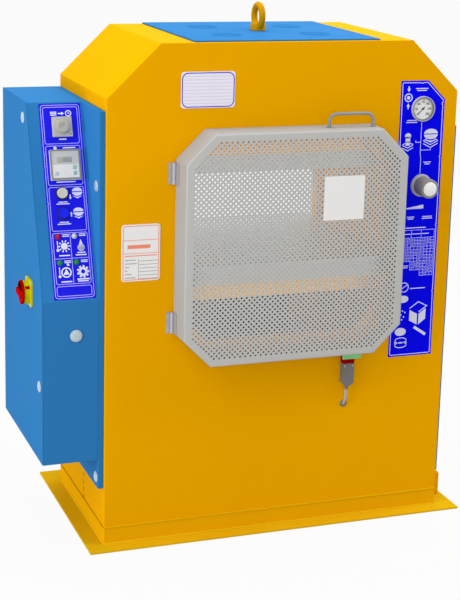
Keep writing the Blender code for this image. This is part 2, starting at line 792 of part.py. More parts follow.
def make_press():
    upper = block(
        "upper_platen",
        (-PLATEN_HALF, -PLATEN_DEPTH, HEAD_BEAM_LOW - GAP - UPPER_PLATEN_THICK),
        (PLATEN_HALF, PLATEN_DEPTH, HEAD_BEAM_LOW - GAP),
        edge=EDGE,
    )
    finish(upper, GROUND_STEEL)
    table_high = TABLE_LOW + TABLE_THICK
    table_half = WALL_INNER - TABLE_SIDE
    table = block(
        "moving_table",
        (-table_half, -PLATEN_DEPTH, TABLE_LOW),
        (table_half, PLATEN_DEPTH, table_high),
        edge=EDGE,
    )
    finish(table, YELLOW_PAINT)
    lower = block(
        "lower_platen",
        (-PLATEN_HALF, -LEDGE_DEPTH, table_high + GAP),
        (PLATEN_HALF, LEDGE_DEPTH, table_high + GAP + LOWER_PLATEN_THICK),
        edge=EDGE,
    )
    finish(lower, GROUND_STEEL)
    axis = seat((0, 0, 0), (1, 0, 0), (0, 1, 0))
    cylinder_low = BED + GAP + BED_BEAM_HEIGHT + GAP
    bore_low = cylinder_low + CYLINDER_FLOOR
    ram = shaft("ram", RAM_RADIUS, bore_low + GAP, TABLE_LOW - GAP, axis)
    finish(ram, DARK_STEEL)
    bore = RAM_RADIUS + GAP
    outer = bore + CYLINDER_WALL
    gland = bore + GLAND_WALL
    profile = [
        (bore, CYLINDER_TOP),
        (gland, CYLINDER_TOP),
        (gland, CYLINDER_TOP - GLAND_HEIGHT),
        (outer, CYLINDER_TOP - GLAND_HEIGHT),
        (outer, cylinder_low),
        (0, cylinder_low),
    ]
    cylinder = turned("cylinder", [(0, bore_low), (bore, bore_low), *profile], axis)
    finish(cylinder, GREY_PAINT)
    hang([ram, table, lower], "ram_lift", seat((0, 0, TABLE_LOW), (1, 0, 0), (0, 1, 0)))
    return outer


def make_power_pack(cylinder_radius):
    left = TANK_MIDDLE - TANK_HALF
    right = TANK_MIDDLE + TANK_HALF
    tank = block("oil_tank", (left, -TANK_DEPTH, BED + GAP), (right, TANK_DEPTH, TANK_TOP), edge=EDGE)
    valve_left = TANK_MIDDLE - VALVE_WIDTH / 2
    valve_low = (valve_left, -VALVE_DEPTH / 2, TANK_TOP - LAP)
    valve_high = (valve_left + VALVE_WIDTH, VALVE_DEPTH / 2, TANK_TOP + VALVE_HEIGHT)
    join(tank, block("valve_block", valve_low, valve_high))
    finish(tank, GREY_PAINT)
    foot = seat((TANK_MIDDLE, -TANK_DEPTH + MOTOR_FROM_END, TANK_TOP + GAP), (1, 0, 0), (0, 1, 0))
    profile = [
        (0, MOTOR_HEIGHT),
        (MOTOR_RADIUS - MOTOR_CROWN, MOTOR_HEIGHT),
        (MOTOR_RADIUS, MOTOR_HEIGHT - MOTOR_CROWN),
        (MOTOR_RADIUS, MOTOR_FLANGE_THICK),
        (MOTOR_FLANGE, MOTOR_FLANGE_THICK),
        (MOTOR_FLANGE, 0),
        (0, 0),
    ]
    finish(turned("pump_motor", profile, foot), GREY_PAINT)
    run = seat((0, 0, TANK_TOP + PIPE_RISE), (0, 1, 0), (0, 0, 1))
    sagitta = PIPE_RADIUS**2 / (2 * cylinder_radius)
    pipe = shaft(
        "pressure_pipe", PIPE_RADIUS, cylinder_radius + sagitta, valve_left - GAP, run, SMALL_STEPS
    )
    finish(pipe, BRIGHT_STEEL)


def cabinet_outline():
    """The cabinet's side, as seen from the left."""
    return [
        (-CABINET_REAR, CABINET_LOW),
        (-CABINET_FACE, CABINET_LOW),
        (-CABINET_FACE, KNEE),
        (-SLOPE_TOP, COVER_TOP),
        (-CABINET_REAR, COVER_TOP),
    ]


def slope_hole(name, across, up, half):
    """A square cutter through the slope's sheet."""
    reach = half + GAP
    return block(
        name,
        (across - reach, up - reach, -CABINET_SHEET - OVERRUN),
        (across + reach, up + reach, OVERRUN),
        SLOPE,
    )


def slope_bore(name, across, up, radius):
    """A round cutter through the slope's sheet."""
    place = at(SLOPE, across, up)
    return shaft(name, radius + GAP, -CABINET_SHEET - OVERRUN, OVERRUN, place, SMALL_STEPS)


LAMPS = (
    ("lamp_red", LAMP_LEFT, LAMP_UPPER, RED_PLASTIC),
    ("lamp_white", LAMP_RIGHT, LAMP_UPPER, WHITE_LENS),
    ("lamp_green_left", LAMP_LEFT, LAMP_LOWER, GREEN_PLASTIC),
    ("lamp_green_right", LAMP_RIGHT, LAMP_LOWER, GREEN_PLASTIC),
)
BUTTONS = (
    ("stop_button", STOP_ACROSS, STOP_UP, PALE_PLASTIC),
    ("start_button", START_ACROSS, START_UP, BLUE_PLASTIC),
)


def make_cabinet():
    cover_low = -CABINET_SHEET
    shell = tray(
        "cabinet_shell", cabinet_outline(), -CABINET_WIDTH, cover_low - GAP, CABINET_SHEET, LEFT_FACE
    )
    cut(
        shell,
        slope_hole("timer_hole", TIMER_ACROSS, TIMER_UP, TIMER_REAR / 2),
        slope_hole("controller_hole", CONTROLLER_ACROSS, CONTROLLER_UP, CONTROLLER_REAR / 2),
    )
    for name, across, up, _ in BUTTONS:
        cut(shell, slope_bore(name + "_hole", across, up, BUTTON_STEM))
    for name, across, up, _ in LAMPS:
        cut(shell, slope_bore(name + "_hole", across, up, LAMP_STEM))
    finish(shell, BLUE_PAINT)
    cover = plate("cabinet_cover", [cabinet_outline()], cover_low, 0, LEFT_FACE)
    finish(cover, BLUE_PAINT)


def make_cabinet_cap():
    """The domed cap that closes the cabinet's front below the slope."""
    front = seat((CABINET_LEFT, CABINET_FACE, KNEE), (1, 0, 0), (0, 0, 1))
    dome = [
        (CABINET_CAP * math.sin(turn), GAP + EDGE + (CABINET_CAP_HEIGHT - EDGE) * math.cos(turn))
        for turn in (math.pi / 2 * step / (BEND_STEPS - 1) for step in range(1, BEND_STEPS))
    ]
    profile = [(0, GAP + CABINET_CAP_HEIGHT), *dome, (CABINET_CAP, GAP), (0, GAP)]
    place = at(front, CABINET_CAP_ACROSS, -CABINET_CAP_DROP)
    finish(turned("cabinet_cap", profile, place, SMALL_STEPS), BRIGHT_STEEL)


def make_cabinet_inside():
    wall = CABINET_RIGHT - CABINET_SHEET - GAP
    rear = CABINET_REAR - CONTACTOR_BACK
    low = COVER_TOP - CONTACTOR_DROP
    contactor = block(
        "contactor",
        (wall - CONTACTOR_DEPTH + CONTACTOR_STEP, rear - CONTACTOR_WIDTH, low),
        (wall, rear, low + CONTACTOR_HEIGHT),
        edge=FINE_EDGE,
    )
    nose_low = low + CONTACTOR_STEP
    nose_high = low + CONTACTOR_HEIGHT - CONTACTOR_STEP
    nose = block(
        "contactor_nose",
        (wall - CONTACTOR_DEPTH, rear - CONTACTOR_WIDTH + LAP, nose_low),
        (wall - CONTACTOR_DEPTH + CONTACTOR_STEP + LAP, rear - LAP, nose_high),
    )
    join(contactor, nose)
    finish(contactor, DARK_PLASTIC)
    terminal_rear = CABINET_REAR - TERMINAL_BACK
    terminal_low = CABINET_LOW + TERMINAL_RISE
    terminals = block(
        "terminal_block",
        (wall - TERMINAL_DEPTH, terminal_rear - TERMINAL_LENGTH, terminal_low),
        (wall, terminal_rear, terminal_low + TERMINAL_HEIGHT),
        edge=FINE_EDGE,
    )
    finish(terminals, PALE_PLASTIC)


def housing(name, across, up, side, face, rear, depth, look):
    """An instrument with a front frame on the slope and a body behind it."""
    place = at(SLOPE, across, up)
    body = block(name, (-side / 2, -side / 2, GAP), (side / 2, side / 2, GAP + face), place, FINE_EDGE)
    tail = block(name + "_rear", (-rear / 2, -rear / 2, -depth), (rear / 2, rear / 2, GAP + LAP), place)
    join(body, tail)
    return finish(body, look)


def make_timer():
    timer = housing(
        "timer_body", TIMER_ACROSS, TIMER_UP, TIMER_SIDE, TIMER_FACE, TIMER_REAR, TIMER_DEPTH, PALE_PLASTIC
    )
    face = at(SLOPE, TIMER_ACROSS, TIMER_UP, GAP + TIMER_FACE)
    bore_low = -KNOB_PIN_LENGTH - GAP
    cut(timer, shaft("timer_pin_bore", KNOB_PIN + GAP, bore_low, OVERRUN, face, SMALL_STEPS))
    knob_high = GAP + TIMER_KNOB_HEIGHT
    profile = [
        (0, knob_high),
        (TIMER_KNOB - FINE_EDGE, knob_high),
        (TIMER_KNOB, knob_high - FINE_EDGE),
        (TIMER_KNOB, GAP),
        (KNOB_PIN, GAP),
        (KNOB_PIN, -KNOB_PIN_LENGTH),
        (0, -KNOB_PIN_LENGTH),
    ]
    finish(turned("timer_knob", profile, face, SMALL_STEPS), PALE_PLASTIC)


def make_controller():
    controller = housing(
        "controller_body",
        CONTROLLER_ACROSS,
        CONTROLLER_UP,
        CONTROLLER_SIDE,
        CONTROLLER_FACE,
        CONTROLLER_REAR,
        CONTROLLER_DEPTH,
        PALE_PLASTIC,
    )
    face = at(SLOPE, CONTROLLER_ACROSS, CONTROLLER_UP, GAP + CONTROLLER_FACE)
    keys = (
        ("controller_key_1", -KEY_LEFT, -KEY_LOWER, PALE_BLUE_PLASTIC),
        ("controller_key_2", KEY_RIGHT, -KEY_UPPER, TEAL_PLASTIC),
        ("controller_key_3", KEY_RIGHT, -KEY_LOWER, TEAL_PLASTIC),
    )
    half = KEY_SIDE / 2
    for name, across, up, look in keys:
        place = at(face, across, up)
        reach = half + GAP
        pocket = block(name + "_pocket", (-reach, -reach, -KEY_POCKET), (reach, reach, OVERRUN), place)
        cut(controller, pocket)
        key_low = -KEY_POCKET + KEY_TRAVEL + GAP
        key = block(name, (-half, -half, key_low), (half, half, KEY_PROUD), place, FINE_EDGE)
        finish(key, look)


def make_buttons_and_lamps():
    cap_low = BUTTON_TRAVEL + BUTTON_CLEARANCE
    for name, across, up, look in BUTTONS:
        profile = [
            (0, BUTTON_PROUD),
            (BUTTON_RADIUS - FINE_EDGE, BUTTON_PROUD),
            (BUTTON_RADIUS, BUTTON_PROUD - FINE_EDGE),
            (BUTTON_RADIUS, cap_low),
            (BUTTON_STEM, cap_low),
            (BUTTON_STEM, -BUTTON_STEM_LENGTH),
            (0, -BUTTON_STEM_LENGTH),
        ]
        finish(turned(name, profile, at(SLOPE, across, up), SMALL_STEPS), look)
    for name, across, up, look in LAMPS:
        rim_top = GAP + LAMP_RIM_HEIGHT
        dome = [
            (LAMP_RADIUS * math.sin(turn), rim_top + (LAMP_PROUD - rim_top) * math.cos(turn))
            for turn in (math.pi / 2 * step / (BEND_STEPS - 1) for step in range(1, BEND_STEPS))
        ]
        profile = [
            (0, LAMP_PROUD),
            *dome,
            (LAMP_RIM, rim_top),
            (LAMP_RIM, GAP),
            (LAMP_STEM, GAP),
            (LAMP_STEM, -LAMP_STEM_LENGTH),
            (0, -LAMP_STEM_LENGTH),
        ]
        finish(turned(name, profile, at(SLOPE, across, up), SMALL_STEPS), look)


def make_main_switch():
    place = at(LEFT_FACE, -CABINET_FACE - SWITCH_BACK, KNEE - SWITCH_DROP)
    half = SWITCH_PLATE / 2
    corners = rounded(-half, half, -half, half, SWITCH_PLATE_CORNER)
    base = plate("switch_base", [corners], GAP, SWITCH_PLATE_THICK, place)
    join(base, shaft("switch_barrel", SWITCH_BODY, SWITCH_PLATE_THICK - LAP, SWITCH_BODY_HEIGHT, place))
    bore_low = SWITCH_BODY_HEIGHT - SWITCH_SHAFT_DEPTH - GAP
    bore_high = SWITCH_BODY_HEIGHT + OVERRUN
    cut(base, shaft("switch_bore", SWITCH_SHAFT + GAP, bore_low, bore_high, place, SMALL_STEPS))
    finish(base, YELLOW_PLASTIC)
    disc_low = SWITCH_BODY_HEIGHT + GAP
    profile = [
        (0, SWITCH_DISC_HEIGHT),
        (SWITCH_DISC - EDGE, SWITCH_DISC_HEIGHT),
        (SWITCH_DISC, SWITCH_DISC_HEIGHT - EDGE),
        (SWITCH_DISC, disc_low),
        (SWITCH_SHAFT, disc_low),
        (SWITCH_SHAFT, SWITCH_BODY_HEIGHT - SWITCH_SHAFT_DEPTH),
        (0, SWITCH_BODY_HEIGHT - SWITCH_SHAFT_DEPTH),
    ]
    handle = turned("switch_handle", profile, place)
    reach = SWITCH_DISC - EDGE - LAP
    grip = block(
        "switch_grip",
        (-reach, -SWITCH_GRIP_WIDTH / 2, SWITCH_DISC_HEIGHT - LAP),
        (reach, SWITCH_GRIP_WIDTH / 2, SWITCH_GRIP_HEIGHT),
        place,
        EDGE,
    )
    join(handle, grip)
    finish(handle, RED_PLASTIC)


def make_gauge():
    place = at(FRONT, GAUGE_ACROSS, GAUGE_UP)
    rim_top = GAP + GAUGE_RIM_HEIGHT
    dial = rim_top - DIAL_DEPTH
    mouth = GAUGE_CASE - GAUGE_WALL
    profile = [
        (0, dial),
        (mouth, dial),
        (mouth, rim_top),
        (GAUGE_RIM - EDGE, rim_top),
        (GAUGE_RIM, rim_top - EDGE),
        (GAUGE_RIM, GAP),
        (GAUGE_CASE, GAP),
        (GAUGE_CASE, -GAUGE_DEPTH),
        (0, -GAUGE_DEPTH),
    ]
    finish(turned("gauge_case", profile, place), DARK_PLASTIC)
    hub_low = dial + GAP
    hub_high = hub_low + NEEDLE_THICK * 2
    needle = shaft("gauge_needle", NEEDLE_HUB, hub_low, hub_high, place, SMALL_STEPS)
    rest_turn = Matrix.Rotation(NEEDLE_REST, 4, "Z")
    half = NEEDLE_WIDTH / 2
    pointer = block(
        "needle_pointer",
        (-half, -NEEDLE_TAIL, hub_low + NEEDLE_THICK / 2),
        (half, NEEDLE_LENGTH, hub_low + NEEDLE_THICK * 3 / 2),
        place @ rest_turn,
    )
    join(needle, pointer)
    finish(needle, DARK_PLASTIC)
    lens_high = rim_top - LENS_INSET
    lens = shaft("gauge_lens", mouth - GAP, lens_high - LENS_THICK, lens_high, place)
    finish(lens, CLEAR_GLASS)


def make_regulator():
    place = at(FRONT, REGULATOR_ACROSS, REGULATOR_UP)
    base_top = GAP + REGULATOR_BASE_HEIGHT
    neck_top = base_top + REGULATOR_NECK_HEIGHT
    profile = [
        (0, neck_top),
        (REGULATOR_NECK, neck_top),
        (REGULATOR_NECK, base_top),
        (REGULATOR_BASE, base_top),
        (REGULATOR_BASE, GAP),
        (REGULATOR_STEM, GAP),
        (REGULATOR_STEM, -REGULATOR_REACH),
        (0, -REGULATOR_REACH),
    ]
    base = turned("regulator_base", profile, place)
    bore_low = neck_top - REGULATOR_SPINDLE_LENGTH - GAP
    bore = shaft("spindle_bore", REGULATOR_SPINDLE + GAP, bore_low, neck_top + OVERRUN, place, SMALL_STEPS)
    cut(base, bore)
    finish(base, DARK_PLASTIC)
    skirt = REGULATOR_NECK + GAP * 2
    knob_low = base_top + GAP
    knob_top = knob_low + REGULATOR_KNOB_LENGTH
    profile = [
        (0, knob_top),
        (REGULATOR_INLAY, knob_top),
        (REGULATOR_KNOB - REGULATOR_KNOB_STEP, knob_top - REGULATOR_KNOB_STEP),
        (REGULATOR_KNOB, knob_top - REGULATOR_KNOB_STEP * 2),
        (REGULATOR_KNOB, knob_low),
        (skirt, knob_low),
        (skirt, neck_top + GAP),
        (REGULATOR_SPINDLE, neck_top + GAP),
        (REGULATOR_SPINDLE, neck_top - REGULATOR_SPINDLE_LENGTH),
        (0, neck_top - REGULATOR_SPINDLE_LENGTH),
    ]
    finish(turned("regulator_knob", profile, place), DARK_PLASTIC)


def make_plates():
    left = -HALF_WIDTH + NAME_PLATE_SIDE
    high = TOP - NAME_PLATE_DROP
    name_loop = rounded(left, left + NAME_PLATE_WIDTH, high - NAME_PLATE_HEIGHT, high, PLATE_CORNER)
    finish(plate("name_plate", [name_loop], GAP, GAP + PLATE_THICK, FRONT), WHITE_PLATE)
    left = -HALF_WIDTH + RATING_PLATE_SIDE
    high = TOP - RATING_PLATE_DROP
    rating_loop = rounded(left, left + RATING_PLATE_WIDTH, high - RATING_PLATE_HEIGHT, high, PLATE_CORNER)
    finish(plate("rating_plate", [rating_loop], GAP, GAP + PLATE_THICK, FRONT), WHITE_PLATE)


def make_handle():
    """The bent rod on the guard's upper flange."""
    right = GUARD_RIGHT - HANDLE_RIGHT
    left = right - HANDLE_SPAN
    foot = GUARD_HIGH + GAP
    top = GUARD_HIGH + HANDLE_HEIGHT - HANDLE_ROD
    off = -HALF_DEPTH - HANDLE_OFF
    points = [(left, off, foot)]
    for centre, start in ((left + HANDLE_BEND, math.pi), (right - HANDLE_BEND, math.pi / 2)):
        for step in range(BEND_STEPS):
            angle = start - math.pi / 2 * step / (BEND_STEPS - 1)
            across = centre + HANDLE_BEND * math.cos(angle)
            up = top - HANDLE_BEND + HANDLE_BEND * math.sin(angle)
            points.append((across, off, up))
    points.append((right, off, foot))
    return finish(tube("guard_handle", points, HANDLE_ROD), BRIGHT_STEEL)


def make_guard():
    loop = octagon(GUARD_LEFT, GUARD_RIGHT, GUARD_LOW, GUARD_HIGH, GUARD_CORNER)
    shell = tray("guard_shell", loop, GUARD_DEPTH, GAP, GUARD_SHEET, FRONT, GUARD_BEND)
    finish(shell, GUARD_PAINT)
    pieces = [shell, make_handle(), make_actuator()]
    hinges = (
        ("upper", TOP - HINGE_HIGH_DROP),
        ("lower", WINDOW_LOW + HINGE_LOW_RISE),
    )
    for name, middle in hinges:
        pieces.append(make_hinge(name, middle - HINGE_LENGTH / 2))
    pivot = seat((PIN_ACROSS, -HALF_DEPTH - PIN_OFF, GUARD_LOW), (1, 0, 0), (0, 1, 0))
    hang(pieces, "guard_pivot", pivot)


def make_hinge(name, low):
    """A plate's leaf with the middle knuckle, and a guard's leaf with the outer knuckles and the pin."""
    axis = seat((PIN_ACROSS, -HALF_DEPTH - PIN_OFF, low), (1, 0, 0), (0, 1, 0))
    knuckle = HINGE_LENGTH / HINGE_KNUCKLES
    first = knuckle + GAP
    last = knuckle * 2 - GAP
    leaf = block(
        name + "_hinge_leaf",
        (-HINGE_LEAF_REACH, PIN_OFF - GAP - HINGE_LEAF, 0),
        (0, PIN_OFF - GAP, HINGE_LENGTH),
        axis,
    )
    relief = HINGE_BARREL + GAP
    for tag, start, end in (("foot", -OVERRUN, knuckle), ("head", knuckle * 2, HINGE_LENGTH + OVERRUN)):
        cut(leaf, shaft(name + "_relief_" + tag, relief, start, end, axis, SMALL_STEPS))
    join(leaf, shaft(name + "_knuckle", HINGE_BARREL, first, last, axis, SMALL_STEPS))
    cut(leaf, shaft(name + "_pin_bore", HINGE_PIN + GAP, -OVERRUN, HINGE_LENGTH + OVERRUN, axis, SMALL_STEPS))
    finish(leaf, BRIGHT_STEEL)
    pin = shaft(name + "_guard_leaf", HINGE_PIN, LAP, HINGE_LENGTH - LAP, axis, SMALL_STEPS)
    wing = block(
        name + "_wing",
        (HINGE_BARREL - HINGE_LEAF, -HINGE_GUARD_REACH, 0),
        (HINGE_BARREL, 0, HINGE_LENGTH),
        axis,
    )
    cut(wing, shaft(name + "_notch", relief, knuckle, knuckle * 2, axis, SMALL_STEPS))
    join(
        pin,
        wing,
        shaft(name + "_knuckle_foot", HINGE_BARREL, 0, knuckle, axis, SMALL_STEPS),
        shaft(name + "_knuckle_head", HINGE_BARREL, knuckle * 2, HINGE_LENGTH, axis, SMALL_STEPS),
    )
    return finish(pin, BRIGHT_STEEL)


def make_actuator():
    middle = GUARD_RIGHT - ACTUATOR_ACROSS
    back = INTERLOCK_DEPTH + ACTUATOR_OFF
    high = GUARD_LOW - GAP
    actuator = block(
        "interlock_actuator",
        (middle - ACTUATOR_WIDTH / 2, high - ACTUATOR_HEIGHT, back),
        (middle + ACTUATOR_WIDTH / 2, high, back + ACTUATOR_THICK),
        FRONT,
        FINE_EDGE,
    )
    tongue_up = HEAD_HIGH - TONGUE_DROP
    tongue = block(
        "tongue",
        (HEAD_ACROSS - TONGUE_WIDTH / 2, tongue_up - TONGUE_HEIGHT / 2, INTERLOCK_DEPTH - TONGUE_REACH),
        (HEAD_ACROSS + TONGUE_WIDTH / 2, tongue_up + TONGUE_HEIGHT / 2, back + LAP),
        FRONT,
    )
    join(actuator, tongue)
    return finish(actuator, GREEN_PLASTIC)


def make_interlock():
    half = INTERLOCK_WIDTH / 2
    head = block(
        "interlock_head",
        (HEAD_ACROSS - half, HEAD_LOW, GAP),
        (HEAD_ACROSS + half, HEAD_HIGH, INTERLOCK_DEPTH),
        FRONT,
        EDGE,
    )
    slot_up = HEAD_HIGH - TONGUE_DROP
    slot_across = TONGUE_WIDTH / 2 + TONGUE_PLAY
    slot_high = TONGUE_HEIGHT / 2 + TONGUE_PLAY_HIGH
    slot_low = INTERLOCK_DEPTH - TONGUE_REACH - TONGUE_PLAY
    slot = block(
        "tongue_slot",
        (HEAD_ACROSS - slot_across, slot_up - slot_high, slot_low),
        (HEAD_ACROSS + slot_across, slot_up + slot_high, INTERLOCK_DEPTH + OVERRUN),
        FRONT,
    )
    cut(head, slot)
    finish(head, RED_PLASTIC)
    body_high = HEAD_LOW - GAP
    loop = [
        (HEAD_ACROSS - half, body_high),
        (HEAD_ACROSS - half, BODY_LOW + INTERLOCK_CORNER),
        (HEAD_ACROSS - half + INTERLOCK_CORNER, BODY_LOW),
        (HEAD_ACROSS + half - INTERLOCK_CORNER, BODY_LOW),
        (HEAD_ACROSS + half, BODY_LOW + INTERLOCK_CORNER),
        (HEAD_ACROSS + half, body_high),
    ]
    body = plate("interlock_body", [loop], GAP, INTERLOCK_DEPTH, FRONT, FINE_EDGE)
    finish(body, GREY_PAINT)
    make_lead()


def lead_route():
    """Straight down from the interlock's body, then round a bend and slantwise into the front plate."""
    whole = LEAD_DROP + LEAD_BEND * math.sin(LEAD_TURN)
    bends = [(0, 0)]
    for step in range(LEAD_STEPS + 1):
        angle = LEAD_TURN * step / LEAD_STEPS
        bends.append((LEAD_BEND * (1 - math.cos(angle)), LEAD_DROP + LEAD_BEND * math.sin(angle)))
    inner_back = bends[-1][0] + LEAD_INSIDE * math.sin(LEAD_TURN)
    inner_fall = bends[-1][1] + LEAD_INSIDE * math.cos(LEAD_TURN)
    bends.append((inner_back, inner_fall))
    off = -HALF_DEPTH - INTERLOCK_DEPTH / 2
    return [
        Vector((HEAD_ACROSS - LEAD_DRIFT * fall / whole, off + back, BODY_LOW - GAP - fall))
        for back, fall in bends
    ]


def lead_seat():
    """The frame of the lead's bore: at the plate's face, along the lead's last stretch."""
    crossing, end = lead_route()[-2:]
    out = (crossing - end).normalized()
    up = out.cross(Vector((1, 0, 0))).normalized()
    return seat(crossing, up.cross(out), up)


def make_lead():
    """The interlock's lead, held by its body and by the front plate."""
    finish(tube("interlock_lead", lead_route(), LEAD_RADIUS), PALE_PLASTIC)


def main():
    make_base()
    make_frame_plates()
    make_walls()
    make_roof()
    make_beams()
    make_covers()
    make_eyebolt()
    cylinder_radius = make_press()
    make_power_pack(cylinder_radius)
    make_cabinet()
    make_cabinet_cap()
    make_cabinet_inside()
    make_timer()
    make_controller()
    make_buttons_and_lamps()
    make_main_switch()
    make_gauge()
    make_regulator()
    make_plates()
    make_guard()
    make_interlock()


main()
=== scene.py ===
"""The looks of a vulcanizing machine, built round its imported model.

Metres, +Z up, front towards -Y. Drawings on labels and turned profiles are in millimetres of their own place.
"""

import math
import random
from collections import namedtuple

import bmesh
import bpy
from mathutils import Matrix, Vector


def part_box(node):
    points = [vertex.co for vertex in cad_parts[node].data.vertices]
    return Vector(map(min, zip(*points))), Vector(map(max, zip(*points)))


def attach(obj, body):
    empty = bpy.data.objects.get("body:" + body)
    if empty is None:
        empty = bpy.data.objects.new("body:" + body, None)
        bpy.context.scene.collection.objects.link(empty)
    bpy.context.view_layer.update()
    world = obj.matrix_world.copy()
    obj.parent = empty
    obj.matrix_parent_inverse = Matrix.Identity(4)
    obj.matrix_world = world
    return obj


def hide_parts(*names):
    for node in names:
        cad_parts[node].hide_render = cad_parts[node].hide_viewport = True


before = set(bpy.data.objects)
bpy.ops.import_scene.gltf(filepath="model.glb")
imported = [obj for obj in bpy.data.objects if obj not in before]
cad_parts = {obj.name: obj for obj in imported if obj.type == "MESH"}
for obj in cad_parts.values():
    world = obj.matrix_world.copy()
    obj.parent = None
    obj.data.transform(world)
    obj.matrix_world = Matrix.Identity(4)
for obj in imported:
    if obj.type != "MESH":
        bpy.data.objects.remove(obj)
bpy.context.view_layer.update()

# Camera, solved from the photograph's 460 x 600 pixels
FRAME_WIDTH = 460
FRAME_HEIGHT = 600
CENTRE_ACROSS_PIXELS = 253.7
CENTRE_DOWN_PIXELS = 239.8
FOCAL_PIXELS = 1567.6
SENSOR_MM = 36.0
CAMERA_PLACE = (-1.391, -3.6765, 1.624)
CAMERA_YAW = math.radians(20.79)
CAMERA_DIP = math.radians(13.30)
CAMERA_ROLL = math.radians(-1.65)

# Making
MM = 0.001
CLEAR = 0.0003  # gap that the solids keep
PRINT = 0.00006  # thickness of printed ink
LABEL = 0.00022  # thickness of a printed label, under the instruments' frames
SMOOTH_UNDER = math.radians(35)
RIGHT_ANGLE = 90
FINE_STEPS = 96
TURN_STEPS = 64
SMALL_STEPS = 32
DISC_STEPS = 24
OVAL_STEPS = 28
DOME_STEPS = 8
CURVE_STEPS = 6
ROD_STEPS = 6
WELD_DISTANCE = 0.00001
SOFT_EDGE = 0.0006

# Cabinet's slope
SLOPE_LENGTH = 0.4754
SLOPE_LEAN = math.radians(20.07)

# Families of finish: colour out of 255, roughness, metallic, specular level, share that the colour varies,
# grains to a metre, depth of the grain, and how the grain is stretched
Look = namedtuple("Look", "colour roughness metallic specular patch grain depth brush")
EVEN = (1, 1, 1)
PAINT = Look(None, 0.45, 0, 0.002, 0.03, 420, 0.00004, EVEN)
GUARD_PAINT = PAINT._replace(roughness=0.50, specular=0.01, patch=0.02, grain=520, depth=0.00003)
PLASTIC = Look(None, 0.45, 0, 0.04, 0.02, 900, 0.00001, EVEN)
TOUGH_PLASTIC = PLASTIC._replace(roughness=0.42, patch=0.04)
LENS = PLASTIC._replace(roughness=0.18, specular=0.30, patch=0.04, depth=0.000006)
PLATE = PLASTIC._replace(specular=0.02, depth=0.000006)
LABEL_STOCK = PLATE._replace(specular=0.01, patch=0.03)
PALE_INK = PLASTIC._replace(specular=0.02, depth=0.000004)
INK = PALE_INK._replace(patch=0.03)


def like(family, colour, **changes):
    """A finish of a family in its own colour."""
    return family._replace(colour=colour, **changes)


